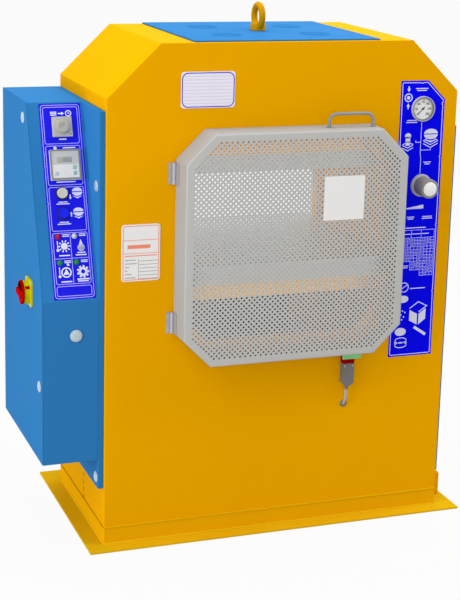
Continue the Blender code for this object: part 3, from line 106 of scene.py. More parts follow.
LOOKS = {
    "yellow_paint": like(PAINT, (243, 172, 0)),
    # The base plate, the plinth and the beads round it: copies of the body's yellow, made less orange to
    # cancel the warm light that bounces near the floor, painted light
    "base_yellow_painted_light": like(PAINT, (228, 182, 14)),
    "plinth_yellow_painted_light": like(PAINT, (238, 176, 4)),
    # Darker than the body's yellow: painted shadow along the left seam under the plinth's top edge, and
    # darker stitches
    "weld_painted_shade": like(PAINT, (176, 124, 4), patch=0.05),
    "blue_paint": like(PAINT, (47, 123, 186)),
    "plug_paint": like(PAINT, (42, 115, 176), roughness=0.50, patch=0.04),
    "guard_paint": like(GUARD_PAINT, (195, 195, 192)),
    # The guard's folded sides: a darker copy of the guard paint on the same sheet, painted shade
    "guard_side_painted_shade": like(GUARD_PAINT, (168, 169, 168)),
    "grey_paint": like(PAINT, (112, 111, 108), roughness=0.50, specular=0.10, patch=0.06),
    "interlock_grey": like(GUARD_PAINT, (124, 121, 120), specular=0.06, patch=0.05, grain=700),
    "ground_steel": Look((190, 190, 188), 0.42, 0.5, 0.3, 0.05, 240, 0.00001, (1, 18, 18)),
    "ram_steel": Look((70, 70, 74), 0.25, 0.9, 0.5, 0.05, 260, 0.000006, (1, 1, 14)),
    "bright_steel": Look((186, 186, 192), 0.32, 0.5, 0.4, 0.04, 300, 0.000008, (1, 1, 9)),
    "rod_steel": Look((146, 154, 156), 0.36, 0.4, 0.3, 0.04, 300, 0.000008, (9, 1, 1)),
    "bolt_zinc": Look((185, 200, 210), 0.36, 0.35, 0.4, 0.05, 900, 0.00001, EVEN),
    "zinc_yellow": Look((206, 146, 4), 0.42, 0, 0.02, 0.10, 260, 0.00002, EVEN),
    "pale_plastic": like(PLASTIC, (190, 189, 180)),
    "panel_white": like(PLASTIC, (234, 231, 226)),
    "panel_grey": like(PLASTIC, (203, 203, 199)),
    "dial_beige": like(PLASTIC, (181, 180, 168)),
    "beige_plastic": like(PLASTIC, (210, 208, 194), roughness=0.42, specular=0.08),
    "bezel_grey": like(PLASTIC, (142, 142, 126), patch=0.03),
    "dark_plastic": like(PLASTIC, (46, 46, 50), specular=0.10, patch=0.05, depth=0.000015),
    "knob_grey": like(PLASTIC, (150, 149, 138), roughness=0.50, patch=0.04, depth=0.000015),
    "rim_grey": like(PLASTIC, (128, 127, 120), specular=0.10, patch=0.03, grain=600),
    "flange_grey": like(PLASTIC, (196, 195, 188), specular=0.06, patch=0.03, grain=600),
    "white_inlay": like(PLASTIC, (255, 255, 252), specular=0.06, depth=0.000008),
    "lead_grey": like(PLASTIC, (176, 174, 182), roughness=0.50, specular=0.02, patch=0.04),
    "teal_plastic": like(PLASTIC, (150, 198, 182), specular=0.06),
    "pale_blue_plastic": like(PLASTIC, (176, 198, 214), specular=0.06),
    "pink_print": like(PLASTIC, (232, 208, 208), specular=0.02),
    "screen_grey": like(PLASTIC, (172, 171, 164), roughness=0.35, specular=0.10, depth=0.000005),
    "screen_dark": like(PLASTIC, (146, 146, 140), roughness=0.40, depth=0.000005),
    "blue_plastic": like(PLASTIC, (24, 38, 240), roughness=0.35, specular=0.12, patch=0.03),
    "yellow_plastic": like(TOUGH_PLASTIC, (206, 200, 0), specular=0.03, depth=0.000015),
    "red_plastic": like(TOUGH_PLASTIC, (180, 4, 8), specular=0.001),
    "dark_red_plastic": like(TOUGH_PLASTIC, (160, 0, 0), specular=0.004),
    # Painted shade for the upper half of the switch's disc
    "switch_shade_red": like(TOUGH_PLASTIC, (70, 0, 2), roughness=0.60, specular=0),
    "green_plastic": like(TOUGH_PLASTIC, (144, 226, 146), specular=0.01, patch=0.03),
    "lamp_red": like(LENS, (180, 8, 34)),
    "lamp_green": like(LENS, (16, 136, 40)),
    "lamp_white": like(LENS, (208, 208, 214), patch=0.03),
    "white_plate": like(PLATE, (248, 247, 245), patch=0.015),
    "sign_white": like(PLATE, (246, 244, 242), roughness=0.50, patch=0.015),
    "lilac_plate": like(PLATE, (244, 238, 255)),
    "label_blue": like(LABEL_STOCK, (10, 10, 254)),
    "control_blue": like(LABEL_STOCK, (34, 34, 232)),
    "line_lilac": like(PALE_INK, (190, 182, 255)),
    "line_bright": like(PALE_INK, (226, 222, 255)),
    "print_white": like(PALE_INK, (236, 236, 255)),
    "print_blue": like(INK, (76, 66, 214)),
    "rule_lilac": like(INK, (206, 202, 216)),
    "print_coral": like(INK, (250, 150, 118)),
    "print_grey": like(INK, (160, 156, 160)),
    "print_dark": like(INK, (34, 34, 38)),
}
PATCH_GRAIN = 3.5  # patches of colour to a metre
PATCH_DETAIL = 6
PATCH_ROUGHNESS = 0.6
GRAIN_DETAIL = 3
GLOSS_SHARE = 0.35  # how far the roughness varies
COLOUR_FULL = 255
SRGB_START = 0.04045
SRGB_SLOPE = 12.92
SRGB_OFFSET = 0.055
SRGB_POWER = 2.4
WHITE = (1, 1, 1, 1)
GLASS_COLOUR = (235, 240, 240)
GLASS_ROUGHNESS = 0.04
GLASS_ALPHA = 0.06

MATERIALS = {}

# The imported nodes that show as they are, by finish
NODE_FINISHES = {
    "yellow_paint": (
        "side_duct", "front_plate", "rear_plate", "left_inner_wall", "right_inner_wall",
        "left_outer_wall", "right_outer_wall", "roof_sheet", "head_beam", "bed_beam", "moving_table",
    ),
    "base_yellow_painted_light": ("base_plate",),
    "plinth_yellow_painted_light": ("plinth",),
    "blue_paint": ("top_cover", "left_cover", "right_cover", "cabinet_shell", "cabinet_cover"),
    "ground_steel": ("upper_platen", "lower_platen"),
    "grey_paint": ("oil_tank", "pump_motor"),
    "bright_steel": (
        "pressure_pipe", "upper_hinge_leaf", "lower_hinge_leaf", "upper_guard_leaf", "lower_guard_leaf",
    ),
    "dark_plastic": ("contactor", "gauge_needle"),
    "interlock_grey": ("interlock_body",),
    "pale_plastic": ("terminal_block", "timer_body"),
    "panel_white": ("controller_body",),
    "pale_blue_plastic": ("controller_key_1",),
    "teal_plastic": ("controller_key_2", "controller_key_3"),
    "yellow_plastic": ("switch_base",),
    "lilac_plate": ("name_plate",),
    "white_plate": ("rating_plate",),
    "green_plastic": ("interlock_actuator",),
    "dark_red_plastic": ("interlock_head",),
}
SHARP_NODES = (
    "base_plate", "side_duct", "left_inner_wall", "right_inner_wall", "left_outer_wall", "right_outer_wall",
    "roof_sheet", "head_beam", "bed_beam", "cabinet_shell", "cabinet_cover", "name_plate", "rating_plate",
)

# Places


def seat(origin, right, up):
    """A frame whose local X is right, local Y is up and local Z stands off the surface."""
    right = Vector(right)
    up = Vector(up)
    turn = Matrix((right, up, right.cross(up))).transposed()
    return Matrix.Translation(origin) @ turn.to_4x4()


def at(place, across, up, off=0.0):
    """The same frame moved along its own axes."""
    return place @ Matrix.Translation((across, up, off))


WORLD = Matrix.Identity(4)
FRONT_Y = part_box("front_plate")[0].y
CABINET_LOW, CABINET_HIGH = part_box("cabinet_shell")
CABINET_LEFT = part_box("cabinet_cover")[0].x
KNEE = CABINET_HIGH.z - SLOPE_LENGTH * math.cos(SLOPE_LEAN)
FRONT = seat((0, FRONT_Y, 0), (1, 0, 0), (0, 0, 1))
LEFT_FACE = seat((CABINET_LEFT, 0, 0), (0, -1, 0), (0, 0, 1))
COVER_FACE = seat((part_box("left_cover")[0].x, 0, 0), (0, -1, 0), (0, 0, 1))
SLOPE = seat((CABINET_LEFT, CABINET_LOW.y, KNEE), (1, 0, 0), (0, math.sin(SLOPE_LEAN), math.cos(SLOPE_LEAN)))


def middle_of(node):
    low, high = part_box(node)
    return (low + high) / 2


def on_slope(node):
    """How far across and up the slope the middle of a node lies."""
    return SLOPE.inverted() @ middle_of(node)


def slope_place(node, off=0.0):
    """The slope's frame at the middle of a node."""
    middle = on_slope(node)
    return at(SLOPE, middle.x, middle.y, off)


def front_place(node):
    """The front's frame at the middle of a node."""
    middle = middle_of(node)
    return at(FRONT, middle.x, middle.z)


def edges_of(node):
    """The left, right, low and high edges of a node on the front, in millimetres."""
    low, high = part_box(node)
    return low.x / MM, high.x / MM, low.z / MM, high.z / MM


def inset(edges, by):
    left, right, low, high = edges
    return left + by, right - by, low + by, high - by


# Materials


def linear(colour):
    """A colour out of 255 as the shader's linear one."""
    made = []
    for part in colour:
        share = part / COLOUR_FULL
        if share <= SRGB_START:
            made.append(share / SRGB_SLOPE)
        else:
            made.append(((share + SRGB_OFFSET) / (1 + SRGB_OFFSET)) ** SRGB_POWER)
    return made


def set_inputs(node, **values):
    """Sets a shader node's inputs by name. An underscore stands for a space."""
    for name, value in values.items():
        node.inputs[name.replace("_", " ")].default_value = value
    return node


def add_node(tree, kind, **values):
    return set_inputs(tree.nodes.new("ShaderNode" + kind), **values)


def new_material(name):
    """A material, its nodes and links, and its shader."""
    material = bpy.data.materials.new(name)
    material.use_nodes = True
    return material, material.node_tree, material.node_tree.nodes["Principled BSDF"]


def make_material(name, look):
    """A finish with patches of colour, uneven gloss and a fine grain, from the object's own coordinates."""
    material, tree, shader = new_material(name)
    set_inputs(shader, Metallic=look.metallic, Specular_IOR_Level=look.specular)
    place = add_node(tree, "TexCoord").outputs["Object"]
    patches = add_node(tree, "TexNoise", Scale=PATCH_GRAIN, Detail=PATCH_DETAIL, Roughness=PATCH_ROUGHNESS)
    mix = add_node(tree, "Mix")
    mix.data_type = "RGBA"
    colour = linear(look.colour)
    darker = [part * (1 - look.patch) for part in colour]
    lighter = [min(1, part * (1 + look.patch)) for part in colour]
    set_inputs(mix, A=(*darker, 1), B=(*lighter, 1))
    stretch = add_node(tree, "Mapping", Scale=look.brush)
    grain = add_node(tree, "TexNoise", Scale=look.grain, Detail=GRAIN_DETAIL)
    smoother = look.roughness * (1 - GLOSS_SHARE)
    rougher = look.roughness * (1 + GLOSS_SHARE)
    gloss = add_node(tree, "MapRange", To_Min=smoother, To_Max=rougher)
    bump = add_node(tree, "Bump", Distance=look.depth)
    for output, node, socket in (
        (place, patches, "Vector"),
        (patches.outputs["Fac"], mix, "Factor"),
        (mix.outputs["Result"], shader, "Base Color"),
        (place, stretch, "Vector"),
        (stretch.outputs["Vector"], grain, "Vector"),
        (patches.outputs["Fac"], gloss, "Value"),
        (gloss.outputs["Result"], shader, "Roughness"),
        (grain.outputs["Fac"], bump, "Height"),
        (bump.outputs["Normal"], shader, "Normal"),
    ):
        tree.links.new(output, node.inputs[socket])
    return material


def make_glass():
    """The gauge's thin window."""
    material, _, shader = new_material("clear_glass")
    colour = (*linear(GLASS_COLOUR), 1)
    set_inputs(shader, Base_Color=colour, Roughness=GLASS_ROUGHNESS, Alpha=GLASS_ALPHA)
    return material


def finish_nodes():
    """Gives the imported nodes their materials, and the sharp-edged ones a fine broken edge."""
    for finish, names in NODE_FINISHES.items():
        for name in names:
            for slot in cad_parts[name].material_slots:
                slot.material = MATERIALS[finish]
    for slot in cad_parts["gauge_lens"].material_slots:
        slot.material = make_glass()
    for name in SHARP_NODES:
        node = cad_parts[name]
        weld = node.modifiers.new("weld", "WELD")
        weld.merge_threshold = WELD_DISTANCE
        edge = node.modifiers.new("edge", "BEVEL")
        edge.width = SOFT_EDGE
        edge.segments = 2
        edge.limit_method = "ANGLE"


# Shapes


def smooth(mesh):
    mesh.shade_smooth()
    mesh.set_sharp_from_angle(angle=SMOOTH_UNDER)
    return mesh


def mesh_of(form, name):
    """The bmesh as a mesh. The bmesh is freed."""
    mesh = bpy.data.meshes.new(name)
    form.to_mesh(mesh)
    form.free()
    return mesh


def helper(name, data):
    piece = bpy.data.objects.new(name, data)
    bpy.context.scene.collection.objects.link(piece)
    return piece


def settled(piece):
    """The mesh of a helper object with its modifiers applied. The helper is removed."""
    bpy.context.view_layer.update()
    graph = bpy.context.evaluated_depsgraph_get()
    mesh = bpy.data.meshes.new_from_object(piece.evaluated_get(graph))
    bpy.data.objects.remove(piece)
    return mesh


def show(name, mesh, place, finish, body="frame", replaces=()):
    """A piece of the object that rides on a body."""
    piece = helper(name, mesh)
    piece.matrix_world = place
    mesh.materials.clear()
    mesh.materials.append(MATERIALS[finish])
    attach(piece, body)
    if replaces:
        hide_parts(*replaces)
    return piece


def scaled(points, size=MM):
    return [tuple(part * size for part in point) for point in points]


def revolve(name, profile, steps=TURN_STEPS, ring=False, flutes=(0, 0, ())):
    """A turned mesh about Z. The profile of (radius, height) runs down its outer side.

    Flutes are their number, their depth and the corners of the profile that they cut.
    """
    count, depth, fluted = flutes
    form = bmesh.new()
    rings = []
    for index, (radius, height) in enumerate(profile):
        if radius == 0:
            rings.append([form.verts.new((0, 0, height))])
            continue
        corners = []
        for step in range(steps):
            turn = math.tau * step / steps
            dip = depth * (1 - math.cos(turn * count)) / 2 if index in fluted else 0
            reach = radius - dip
            corners.append(form.verts.new((reach * math.cos(turn), reach * math.sin(turn), height)))
        rings.append(corners)
    pairs = list(zip(rings, rings[1:]))
    if ring:
        pairs.append((rings[-1], rings[0]))
    for upper, lower in pairs:
        for step in range(steps):
            after = (step + 1) % steps
            around = (
                upper[step % len(upper)], lower[step % len(lower)],
                lower[after % len(lower)], upper[after % len(upper)],
            )
            form.faces.new(list(dict.fromkeys(around)))
    return smooth(mesh_of(form, name))


def show_turned(name, profile, place, finish, body="frame", replaces=(), slot=None, **turning):
    """A turned piece, its profile in millimetres."""
    return show(name, revolve(name, scaled(profile), **turning), place, finish, body, replaces)


def dome(radius, base, rise, steps=DOME_STEPS):
    """A profile over a round top, from its middle to its edge."""
    turns = [math.pi / 2 * step / steps for step in range(steps + 1)]
    return [(radius * math.sin(turn), base + rise * math.cos(turn)) for turn in turns]


def arc(across, up, radius, start, end, steps=CURVE_STEPS):
    """Points along a circle between two angles in degrees."""
    points = []
    for step in range(steps + 1):
        turn = math.radians(start + (end - start) * step / steps)
        points.append((across + radius * math.cos(turn), up + radius * math.sin(turn)))
    return points


def circle(across, up, radius, sides=SMALL_STEPS):
    return arc(across, up, radius, 0, 360 * (sides - 1) / sides, sides - 1)


def spoke(turn, *reaches):
    """Points on a line from the middle, at an angle in degrees."""
    turn = math.radians(turn)
    return [(reach * math.cos(turn), reach * math.sin(turn)) for reach in reaches]


def rectangle(left, right, low, high):
    return [(left, low), (right, low), (right, high), (left, high)]


def corner(edges, radius, quarter):
    """A round corner of a rectangle, counted from the upper right one against the clock."""
    left, right, low, high = inset(edges, radius)
    across = right if quarter in (0, 3) else left
    up = high if quarter in (0, 1) else low
    return arc(across, up, radius, quarter * RIGHT_ANGLE, (quarter + 1) * RIGHT_ANGLE)


def rounded(left, right, low, high, radius):
    """A rectangle with round corners."""
    points = []
    for quarter in range(4):
        points += corner((left, right, low, high), radius, quarter)
    return points


def octagon(left, right, low, high, corner):
    """A rectangle with its corners cut off at 45 degrees."""
    return [
        (left + corner, low),
        (right - corner, low),
        (right, low + corner),
        (right, high - corner),
        (right - corner, high),
        (left + corner, high),
        (left, high - corner),
        (left, low + corner),
    ]


def flat(name, loops, low, high):
    """A flat plate between two heights: an outer loop and any holes."""
    curve = bpy.data.curves.new(name, "CURVE")
    curve.dimensions = "2D"
    curve.fill_mode = "BOTH"
    curve.extrude = (high - low) / 2
    for loop in loops:
        spline = curve.splines.new("POLY")
        spline.points.add(len(loop) - 1)
        for point, (across, up) in zip(spline.points, loop):
            point.co = (across, up, 0, 1)
        spline.use_cyclic_u = True
    form = bmesh.new()
    form.from_mesh(settled(helper(name, curve)))
    bmesh.ops.remove_doubles(form, verts=form.verts, dist=WELD_DISTANCE)
    bmesh.ops.translate(form, vec=(0, 0, (low + high) / 2), verts=form.verts)
    return mesh_of(form, name)


def slab(name, low, high, edge=0.0, segments=2):
    """A box between two corners with rounded edges."""
    low = Vector(low)
    high = Vector(high)
    form = bmesh.new()
    bmesh.ops.create_cube(form, size=1)
    bmesh.ops.scale(form, vec=high - low, verts=form.verts)
    bmesh.ops.translate(form, vec=(low + high) / 2, verts=form.verts)
    if edge:
        bmesh.ops.bevel(form, geom=form.edges[:], offset=edge, segments=segments, affect="EDGES", profile=0.5)
    return smooth(mesh_of(form, name))


def joined(name, *meshes):
    """One mesh of several that touch or stand apart."""
    form = bmesh.new()
    for mesh in meshes:
        form.from_mesh(mesh)
        bpy.data.meshes.remove(mesh)
    return smooth(mesh_of(form, name))


def combined(operation, first, second):
    """The union or the difference of two closed meshes."""
    one = helper("first", first)
    two = helper("second", second)
    change = one.modifiers.new("change", "BOOLEAN")
    change.operation = operation
    change.solver = "EXACT"
    change.object = two
    mesh = settled(one)
    bpy.data.objects.remove(two)
    return smooth(mesh)


def moved(mesh, place):
    mesh.transform(place)
    return mesh


def bridge(form, rings):
    """Faces between closed rings of corners, each ring to the next."""
    for ring, after in zip(rings, rings[1:]):
        for index in range(len(ring)):
            following = (index + 1) % len(ring)
            form.faces.new((ring[index], ring[following], after[following], after[index]))


def tube(name, points, radius):
    """A round rod through the points, with closed ends."""
    curve = bpy.data.curves.new(name, "CURVE")
    curve.dimensions = "3D"
    curve.bevel_depth = radius
    curve.bevel_resolution = ROD_STEPS
    curve.use_fill_caps = True
    spline = curve.splines.new("POLY")
    spline.points.add(len(points) - 1)
    for point, place in zip(spline.points, points):
        point.co = (*place, 1)
    return smooth(settled(helper(name, curve)))


# Printing

ARROW_WIDTH_SHARE = 0.6
MITRE_SHARE = 0.3  # least cosine of a mitre, so that sharp corners stay short
MOULD_GAP = 2.2
MOULD_STEPS = 12
DOT_SIDES = 8
MOULD_FOOT_SHARES = ((-1, -1.1), (0, -1.8), (1, -1.1), (0, -1.4))
SEGMENT_SHARES = {
    "a": ((0, 1), (1, 1)),
    "b": ((1, 1), (1, 0.5)),
    "c": ((1, 0.5), (1, 0)),
    "d": ((0, 0), (1, 0)),
    "e": ((0, 0), (0, 0.5)),
    "f": ((0, 0.5), (0, 1)),
    "g": ((0, 0.5), (1, 0.5)),
}
DIGITS = {
    "0": "abcdef", "1": "bc", "2": "abged", "3": "abgcd", "4": "fgbc",
    "5": "afgcd", "6": "afgedc", "7": "abc", "8": "abcdefg", "9": "abcfgd",
}
DIGIT_WIDTH_SHARE = 0.5
DIGIT_PITCH_SHARE = 0.8


def stretched(shares, across, up, wide, high):
    """Points given as shares of a width and a height from a place."""
    return [(across + x * wide, up + y * high) for x, y in shares]


class Sketch:
    """Flat printed shapes, in millimetres of their label."""

    def __init__(self, art=()):
        self.patches = []
        self.draw(art, 0, 0)

    def draw(self, art, across, up):
        """The shapes of a table, each by name and numbers, about a place."""
        self.origin = (across, up)
        for shape, *numbers in art:
            getattr(self, shape)(*numbers)
        self.origin = (0, 0)

    def fill(self, points):
        self.patches.append(stretched(points, *self.origin, 1, 1))

    def bar(self, across, up, width, height):
        """A bar given by its middle."""
        self.fill(rectangle(across - width / 2, across + width / 2, up - height / 2, up + height / 2))

    def text(self, across, up, widths, height, pitch):
        """Bars below each other, in the place of lines of text."""
        for line, width in enumerate(widths):
            self.bar(across, up - line * pitch, width, height)

    def ellipse(self, across, up, half_wide, half_high, sides=OVAL_STEPS):
        self.fill(stretched(circle(0, 0, 1, sides), across, up, half_wide, half_high))

    def disc(self, across, up, radius, sides=DISC_STEPS):
        self.ellipse(across, up, radius, radius, sides)

    def dots(self, points, radius):
        for point in points:
            self.disc(*point, radius, DOT_SIDES)

    def stroke(self, points, width, closed=False):
        """A line of even width with mitred corners."""
        count = len(points)
        sides = []
        for index, point in enumerate(points):
            here = Vector(point)
            before = Vector(points[index - 1]) if closed or index else None
            after = Vector(points[(index + 1) % count]) if closed or index < count - 1 else None
            into = (here - before).normalized() if before is not None else None
            out = (after - here).normalized() if after is not None else None
            into = into or out
            out = out or into
            across = Vector((-(into + out).y, (into + out).x)).normalized()
            spread = width / 2 / max(MITRE_SHARE, across.dot(Vector((-out.y, out.x))))
            sides.append((here + across * spread, here - across * spread))
        ends = list(zip(sides, sides[1:]))
        if closed:
            ends.append((sides[-1], sides[0]))
        for (left, right), (next_left, next_right) in ends:
            self.fill([left, right, next_right, next_left])

    def oval(self, across, up, half_wide, half_high, width):
        """An ellipse in outline."""
        points = stretched(circle(0, 0, 1, OVAL_STEPS), across, up, half_wide, half_high)
        self.stroke(points, width, closed=True)

    def ring(self, across, up, radius, width):
        self.oval(across, up, radius, radius, width)

    def frame(self, edges, radius, width):
        self.stroke(rounded(*edges, radius), width, closed=True)

    def arrow(self, across, up, length, head, width, turn):
        """An arrow from its tail, pointing at an angle in degrees."""
        along = Vector(spoke(turn, 1)[0])
        side = Vector((-along.y, along.x)) * head * ARROW_WIDTH_SHARE
        tail = Vector((across, up))
        neck = tail + along * (length - head)
        self.stroke([tail, neck], width)
        self.fill([neck - side, tail + along * length, neck + side])

    def rays(self, across, up, count, near, far, width):
        """Strokes that stand round a place."""
        for ray in range(count):
            self.stroke(stretched(spoke(360 * ray / count, near, far), across, up, 1, 1), width)

    def mould(self, across, up, half_wide, half_high):
        """A round mould in two halves, on a foot."""
        half = arc(0, 0, 1, 0, 180, MOULD_STEPS)
        for side in (1, -1):
            self.fill(stretched(half, across, up + side * MOULD_GAP / 2, half_wide, side * half_high))
        self.fill(stretched(MOULD_FOOT_SHARES, across, up, half_wide, half_high))

    def digits(self, text, across, up, height, width):
        """Plain numbers of straight strokes, centred on a place."""
        wide = height * DIGIT_WIDTH_SHARE
        pitch = height * DIGIT_PITCH_SHARE
        left = across - (pitch * (len(text) - 1) + wide) / 2
        for index, digit in enumerate(text):
            for segment in DIGITS[digit]:
                ends = stretched(SEGMENT_SHARES[segment], left + index * pitch, up - height / 2, wide, height)
                self.stroke(ends, width)

    def printed(self, name, place, off, finish):
        """The shapes as one piece of thin ink that stands off the frame's surface."""
        form = bmesh.new()
        for patch in self.patches:
            form.faces.new([form.verts.new((*point, 0)) for point in scaled(patch)])
        bmesh.ops.remove_doubles(form, verts=form.verts, dist=WELD_DISTANCE)
        bmesh.ops.recalc_face_normals(form, faces=form.faces)
        for face in form.faces:
            if face.normal.z < 0:
                face.normal_flip()
        grown = bmesh.ops.extrude_face_region(form, geom=form.faces[:])
        lifted = [item for item in grown["geom"] if isinstance(item, bmesh.types.BMVert)]
        bmesh.ops.translate(form, vec=(0, 0, PRINT), verts=lifted)
        bmesh.ops.recalc_face_normals(form, faces=form.faces)
        return show(name, mesh_of(form, name), at(place, 0, 0, off), finish)


# Guard

SHEET = 0.0015
GUARD_CORNER = 0.070
GUARD_BEND = 0.005
SIDE_UNDER = 0.7  # cosine to the front under which a face belongs to the guard's side
HOLE_RADIUS = 0.0025
HOLE_SIDES = 12
HOLE_PITCH_ACROSS = 0.0133
HOLE_PITCH_UP = 0.0066
HOLE_MARGIN = 0.0165
SIGN_EDGES = (0.0665, 0.1715, 0.808, 0.9155)
SIGN_THICK = 0.0002
SIGN_CORNER = 0.002


def make_guard():
    """The folded, perforated tray, and the bare sign plate on it."""
    low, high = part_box("guard_shell")
    edges = (low.x, high.x, low.z, high.z)
    depth = FRONT_Y - low.y - SIGN_THICK - PRINT
    slant = 2 - math.sqrt(2)

    def outline(by):
        return octagon(*inset(edges, by), GUARD_CORNER - by * slant)

    def within(across, up, by):
        side = min(across - low.x, high.x - across) - by
        end = min(up - low.z, high.z - up) - by
        return side >= 0 and end >= 0 and side + end >= GUARD_CORNER - by * slant

    holes = []
    rows = int((high.z - low.z) / HOLE_PITCH_UP)
    columns = int((high.x - low.x) / HOLE_PITCH_ACROSS)
    for row in range(rows + 1):
        up = (low.z + high.z) / 2 + (row - rows / 2) * HOLE_PITCH_UP
        for column in range(-1, columns + 2):
            across = (low.x + high.x) / 2 + (column - columns / 2 + row % 2 / 2) * HOLE_PITCH_ACROSS
            if within(across, up, HOLE_MARGIN + HOLE_RADIUS):
                holes.append(circle(across, up, HOLE_RADIUS, HOLE_SIDES))
    fold = outline(GUARD_BEND)
    form = bmesh.new()
    form.from_mesh(flat("guard_sheet", [fold, *holes], depth - SHEET, depth))

    def on_fold(corner):
        return min((Vector(point) - corner.co.xy).length for point in fold) < WELD_DISTANCE

    sides = [face for face in form.faces if abs(face.normal.z) < SIDE_UNDER and all(map(on_fold, face.verts))]
    bmesh.ops.delete(form, geom=sides, context="FACES_ONLY")
    outer = arc(0, depth - GUARD_BEND, GUARD_BEND, 90, 0)
    inner = arc(0, depth - GUARD_BEND, GUARD_BEND - SHEET, 0, 90)
    profile = [(GUARD_BEND, CLEAR), (GUARD_BEND - SHEET, CLEAR)]
    profile = [(GUARD_BEND - across, off) for across, off in (*outer, *profile, *inner)]
    bridge(form, [[form.verts.new((*point, off)) for point in outline(by)] for by, off in profile])
    bmesh.ops.remove_doubles(form, verts=form.verts, dist=WELD_DISTANCE)
    bmesh.ops.recalc_face_normals(form, faces=form.faces)
    mesh = smooth(mesh_of(form, "guard_sheet"))
    show("guard_sheet", mesh, FRONT, "guard_paint", "guard", ["guard_shell"])
    # Faces that turn away from the front take the darker copy of the guard paint: painted shade on the sides
    # and bends
    mesh.materials.append(MATERIALS["guard_side_painted_shade"])
    for polygon in mesh.polygons:
        if abs(polygon.normal.z) < SIDE_UNDER:
            polygon.material_index = 1
    sign = flat("sign_plate", [rounded(*SIGN_EDGES, SIGN_CORNER)], 0, SIGN_THICK)
    show("sign_plate", sign, at(FRONT, 0, 0, depth + PRINT), "sign_white", "guard")


GRIP_ROD = 0.004
GRIP_BEND = 0.018
GRIP_FOOT = ((0, 1.4), (5.8, 1.4), (6.5, 0.7), (6.5, 0), (0, 0))


def make_grip():
    """The guard's bent rod handle, with a round foot under each leg."""
    low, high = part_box("guard_handle")
    top = high.z - GRIP_ROD
    left = low.x + GRIP_ROD
    right = high.x - GRIP_ROD
    back = (low.y + high.y) / 2
    points = [(left, low.z)]
    points += arc(left + GRIP_BEND, top - GRIP_BEND, GRIP_BEND, 180, 90)
    points += arc(right - GRIP_BEND, top - GRIP_BEND, GRIP_BEND, 90, 0)
    points.append((right, low.z))
    parts = [tube("guard_grip", [(across, back, up) for across, up in points], GRIP_ROD)]
    for across in (left, right):
        foot = revolve("foot", scaled(GRIP_FOOT), SMALL_STEPS)
        parts.append(moved(foot, Matrix.Translation((across, back, low.z))))
    mesh = joined("guard_grip", *parts)
    show("guard_grip", mesh, WORLD, "rod_steel", "guard", ["guard_handle"])


# Screws and bolts

SCREW_RADIUS = 0.0026
SCREW_HEIGHT = 0.0009
SCREW_SHARES = ((0, 1), (0.72, 1), (0.93, 0.7), (1, 0.2), (1, 0), (0, 0))
SCREW_SLOT = 0.0007  # width of the slot in a head of SCREW_RADIUS
SLOT_REACH_SHARE = 0.62
SLOT_LOW_SHARE = 0.35
HINGE_LEAF = 0.002
HINGE_SCREW_END = 0.012
HINGE_SCREW_IN = 0.0042


def screw_head(radius, height):
    """A low round head with a slot."""
    head = revolve("head", stretched(SCREW_SHARES, 0, 0, radius, height), SMALL_STEPS)
    half = SCREW_SLOT * radius / SCREW_RADIUS / 2
    reach = radius * SLOT_REACH_SHARE
    slot = slab("slot", (-reach, -half, height * SLOT_LOW_SHARE), (reach, half, height * 2))
    return combined("DIFFERENCE", head, slot)


def place_screws(name, places, radius=SCREW_RADIUS, height=SCREW_HEIGHT):
    """A set of like screw heads, each turned its own way."""
    chance = random.Random(name)
    heads = []
    for place in places:
        turn = Matrix.Rotation(chance.uniform(0, math.pi), 4, "Z")
        heads.append(moved(screw_head(radius, height), place @ turn))
    show(name, joined(name, *heads), WORLD, "bolt_zinc")


def make_hinge_screws():
    face = at(FRONT, 0, 0, CLEAR + HINGE_LEAF)
    for which in ("upper", "lower"):
        low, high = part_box(which + "_hinge_leaf")
        across = low.x + HINGE_SCREW_IN
        places = [at(face, across, up) for up in (low.z + HINGE_SCREW_END, high.z - HINGE_SCREW_END)]
        place_screws(which + "_hinge_screws", places)


# Domed bolts, as places towards the front and heights
COVER_BOLTS = ((0.1997, 0.1749), (0.1909, 0.8938))
CABINET_BOLTS = ((0.0211, 1.0333), (0.1874, 0.413))
BOLT = (*dome(13.8, 0, 4, CURVE_STEPS), (0, 0))
CAP_RIM_SHARE = 0.25


def make_bolts():
    for kind, face, places in (("cover", COVER_FACE, COVER_BOLTS), ("cabinet", LEFT_FACE, CABINET_BOLTS)):
        for number, (forward, up) in enumerate(places, 1):
            place = at(face, forward, up)
            show_turned(
                f"{kind}_bolt_{number}", BOLT, place, "bolt_zinc", slot="bright_steel", steps=SMALL_STEPS
            )


def make_cap():
    """The domed cap on the cabinet's lower front."""
    low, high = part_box("cabinet_cap")
    middle = (low + high) / 2
    radius = (high.x - low.x) / 2 / MM
    height = (high.y - low.y) / MM
    rim = height * CAP_RIM_SHARE
    profile = [*dome(radius, rim, height - rim), (radius, 0), (0, 0)]
    place = seat((middle.x, high.y, middle.z), (1, 0, 0), (0, 0, 1))
    show_turned(
        "front_cap", profile, place, "bolt_zinc", replaces=["cabinet_cap"], slot="bright_steel",
        steps=SMALL_STEPS,
    )


PLUG_ACROSS = 0.115
PLUG_BACK = 0.094
PLUG = ((0, 0.675), (32.25, 0.675), (33.75, 0.9), (36.75, 0.9), (37.5, 0.36), (37.5, 0), (0, 0))


def make_plugs():
    """The four plugs in the top cover."""
    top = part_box("top_cover")[1].z
    places = [(across, back) for across in (-PLUG_ACROSS, PLUG_ACROSS) for back in (-PLUG_BACK, PLUG_BACK)]
    for number, (across, back) in enumerate(places, 1):
        place = seat((across, back, top + PRINT), (1, 0, 0), (0, 1, 0))
        show_turned(f"roof_plug_{number}", PLUG, place, "plug_paint", slot="blue_paint")


EYE_RING = 0.028
EYE_WIRE = 0.008
EYE_WIRE_STEPS = 20
EYE_COLLAR = ((0, 21), (11, 21), (13, 20), (18, 16), (19, 14), (19, 1), (18, 0), (0, 0))


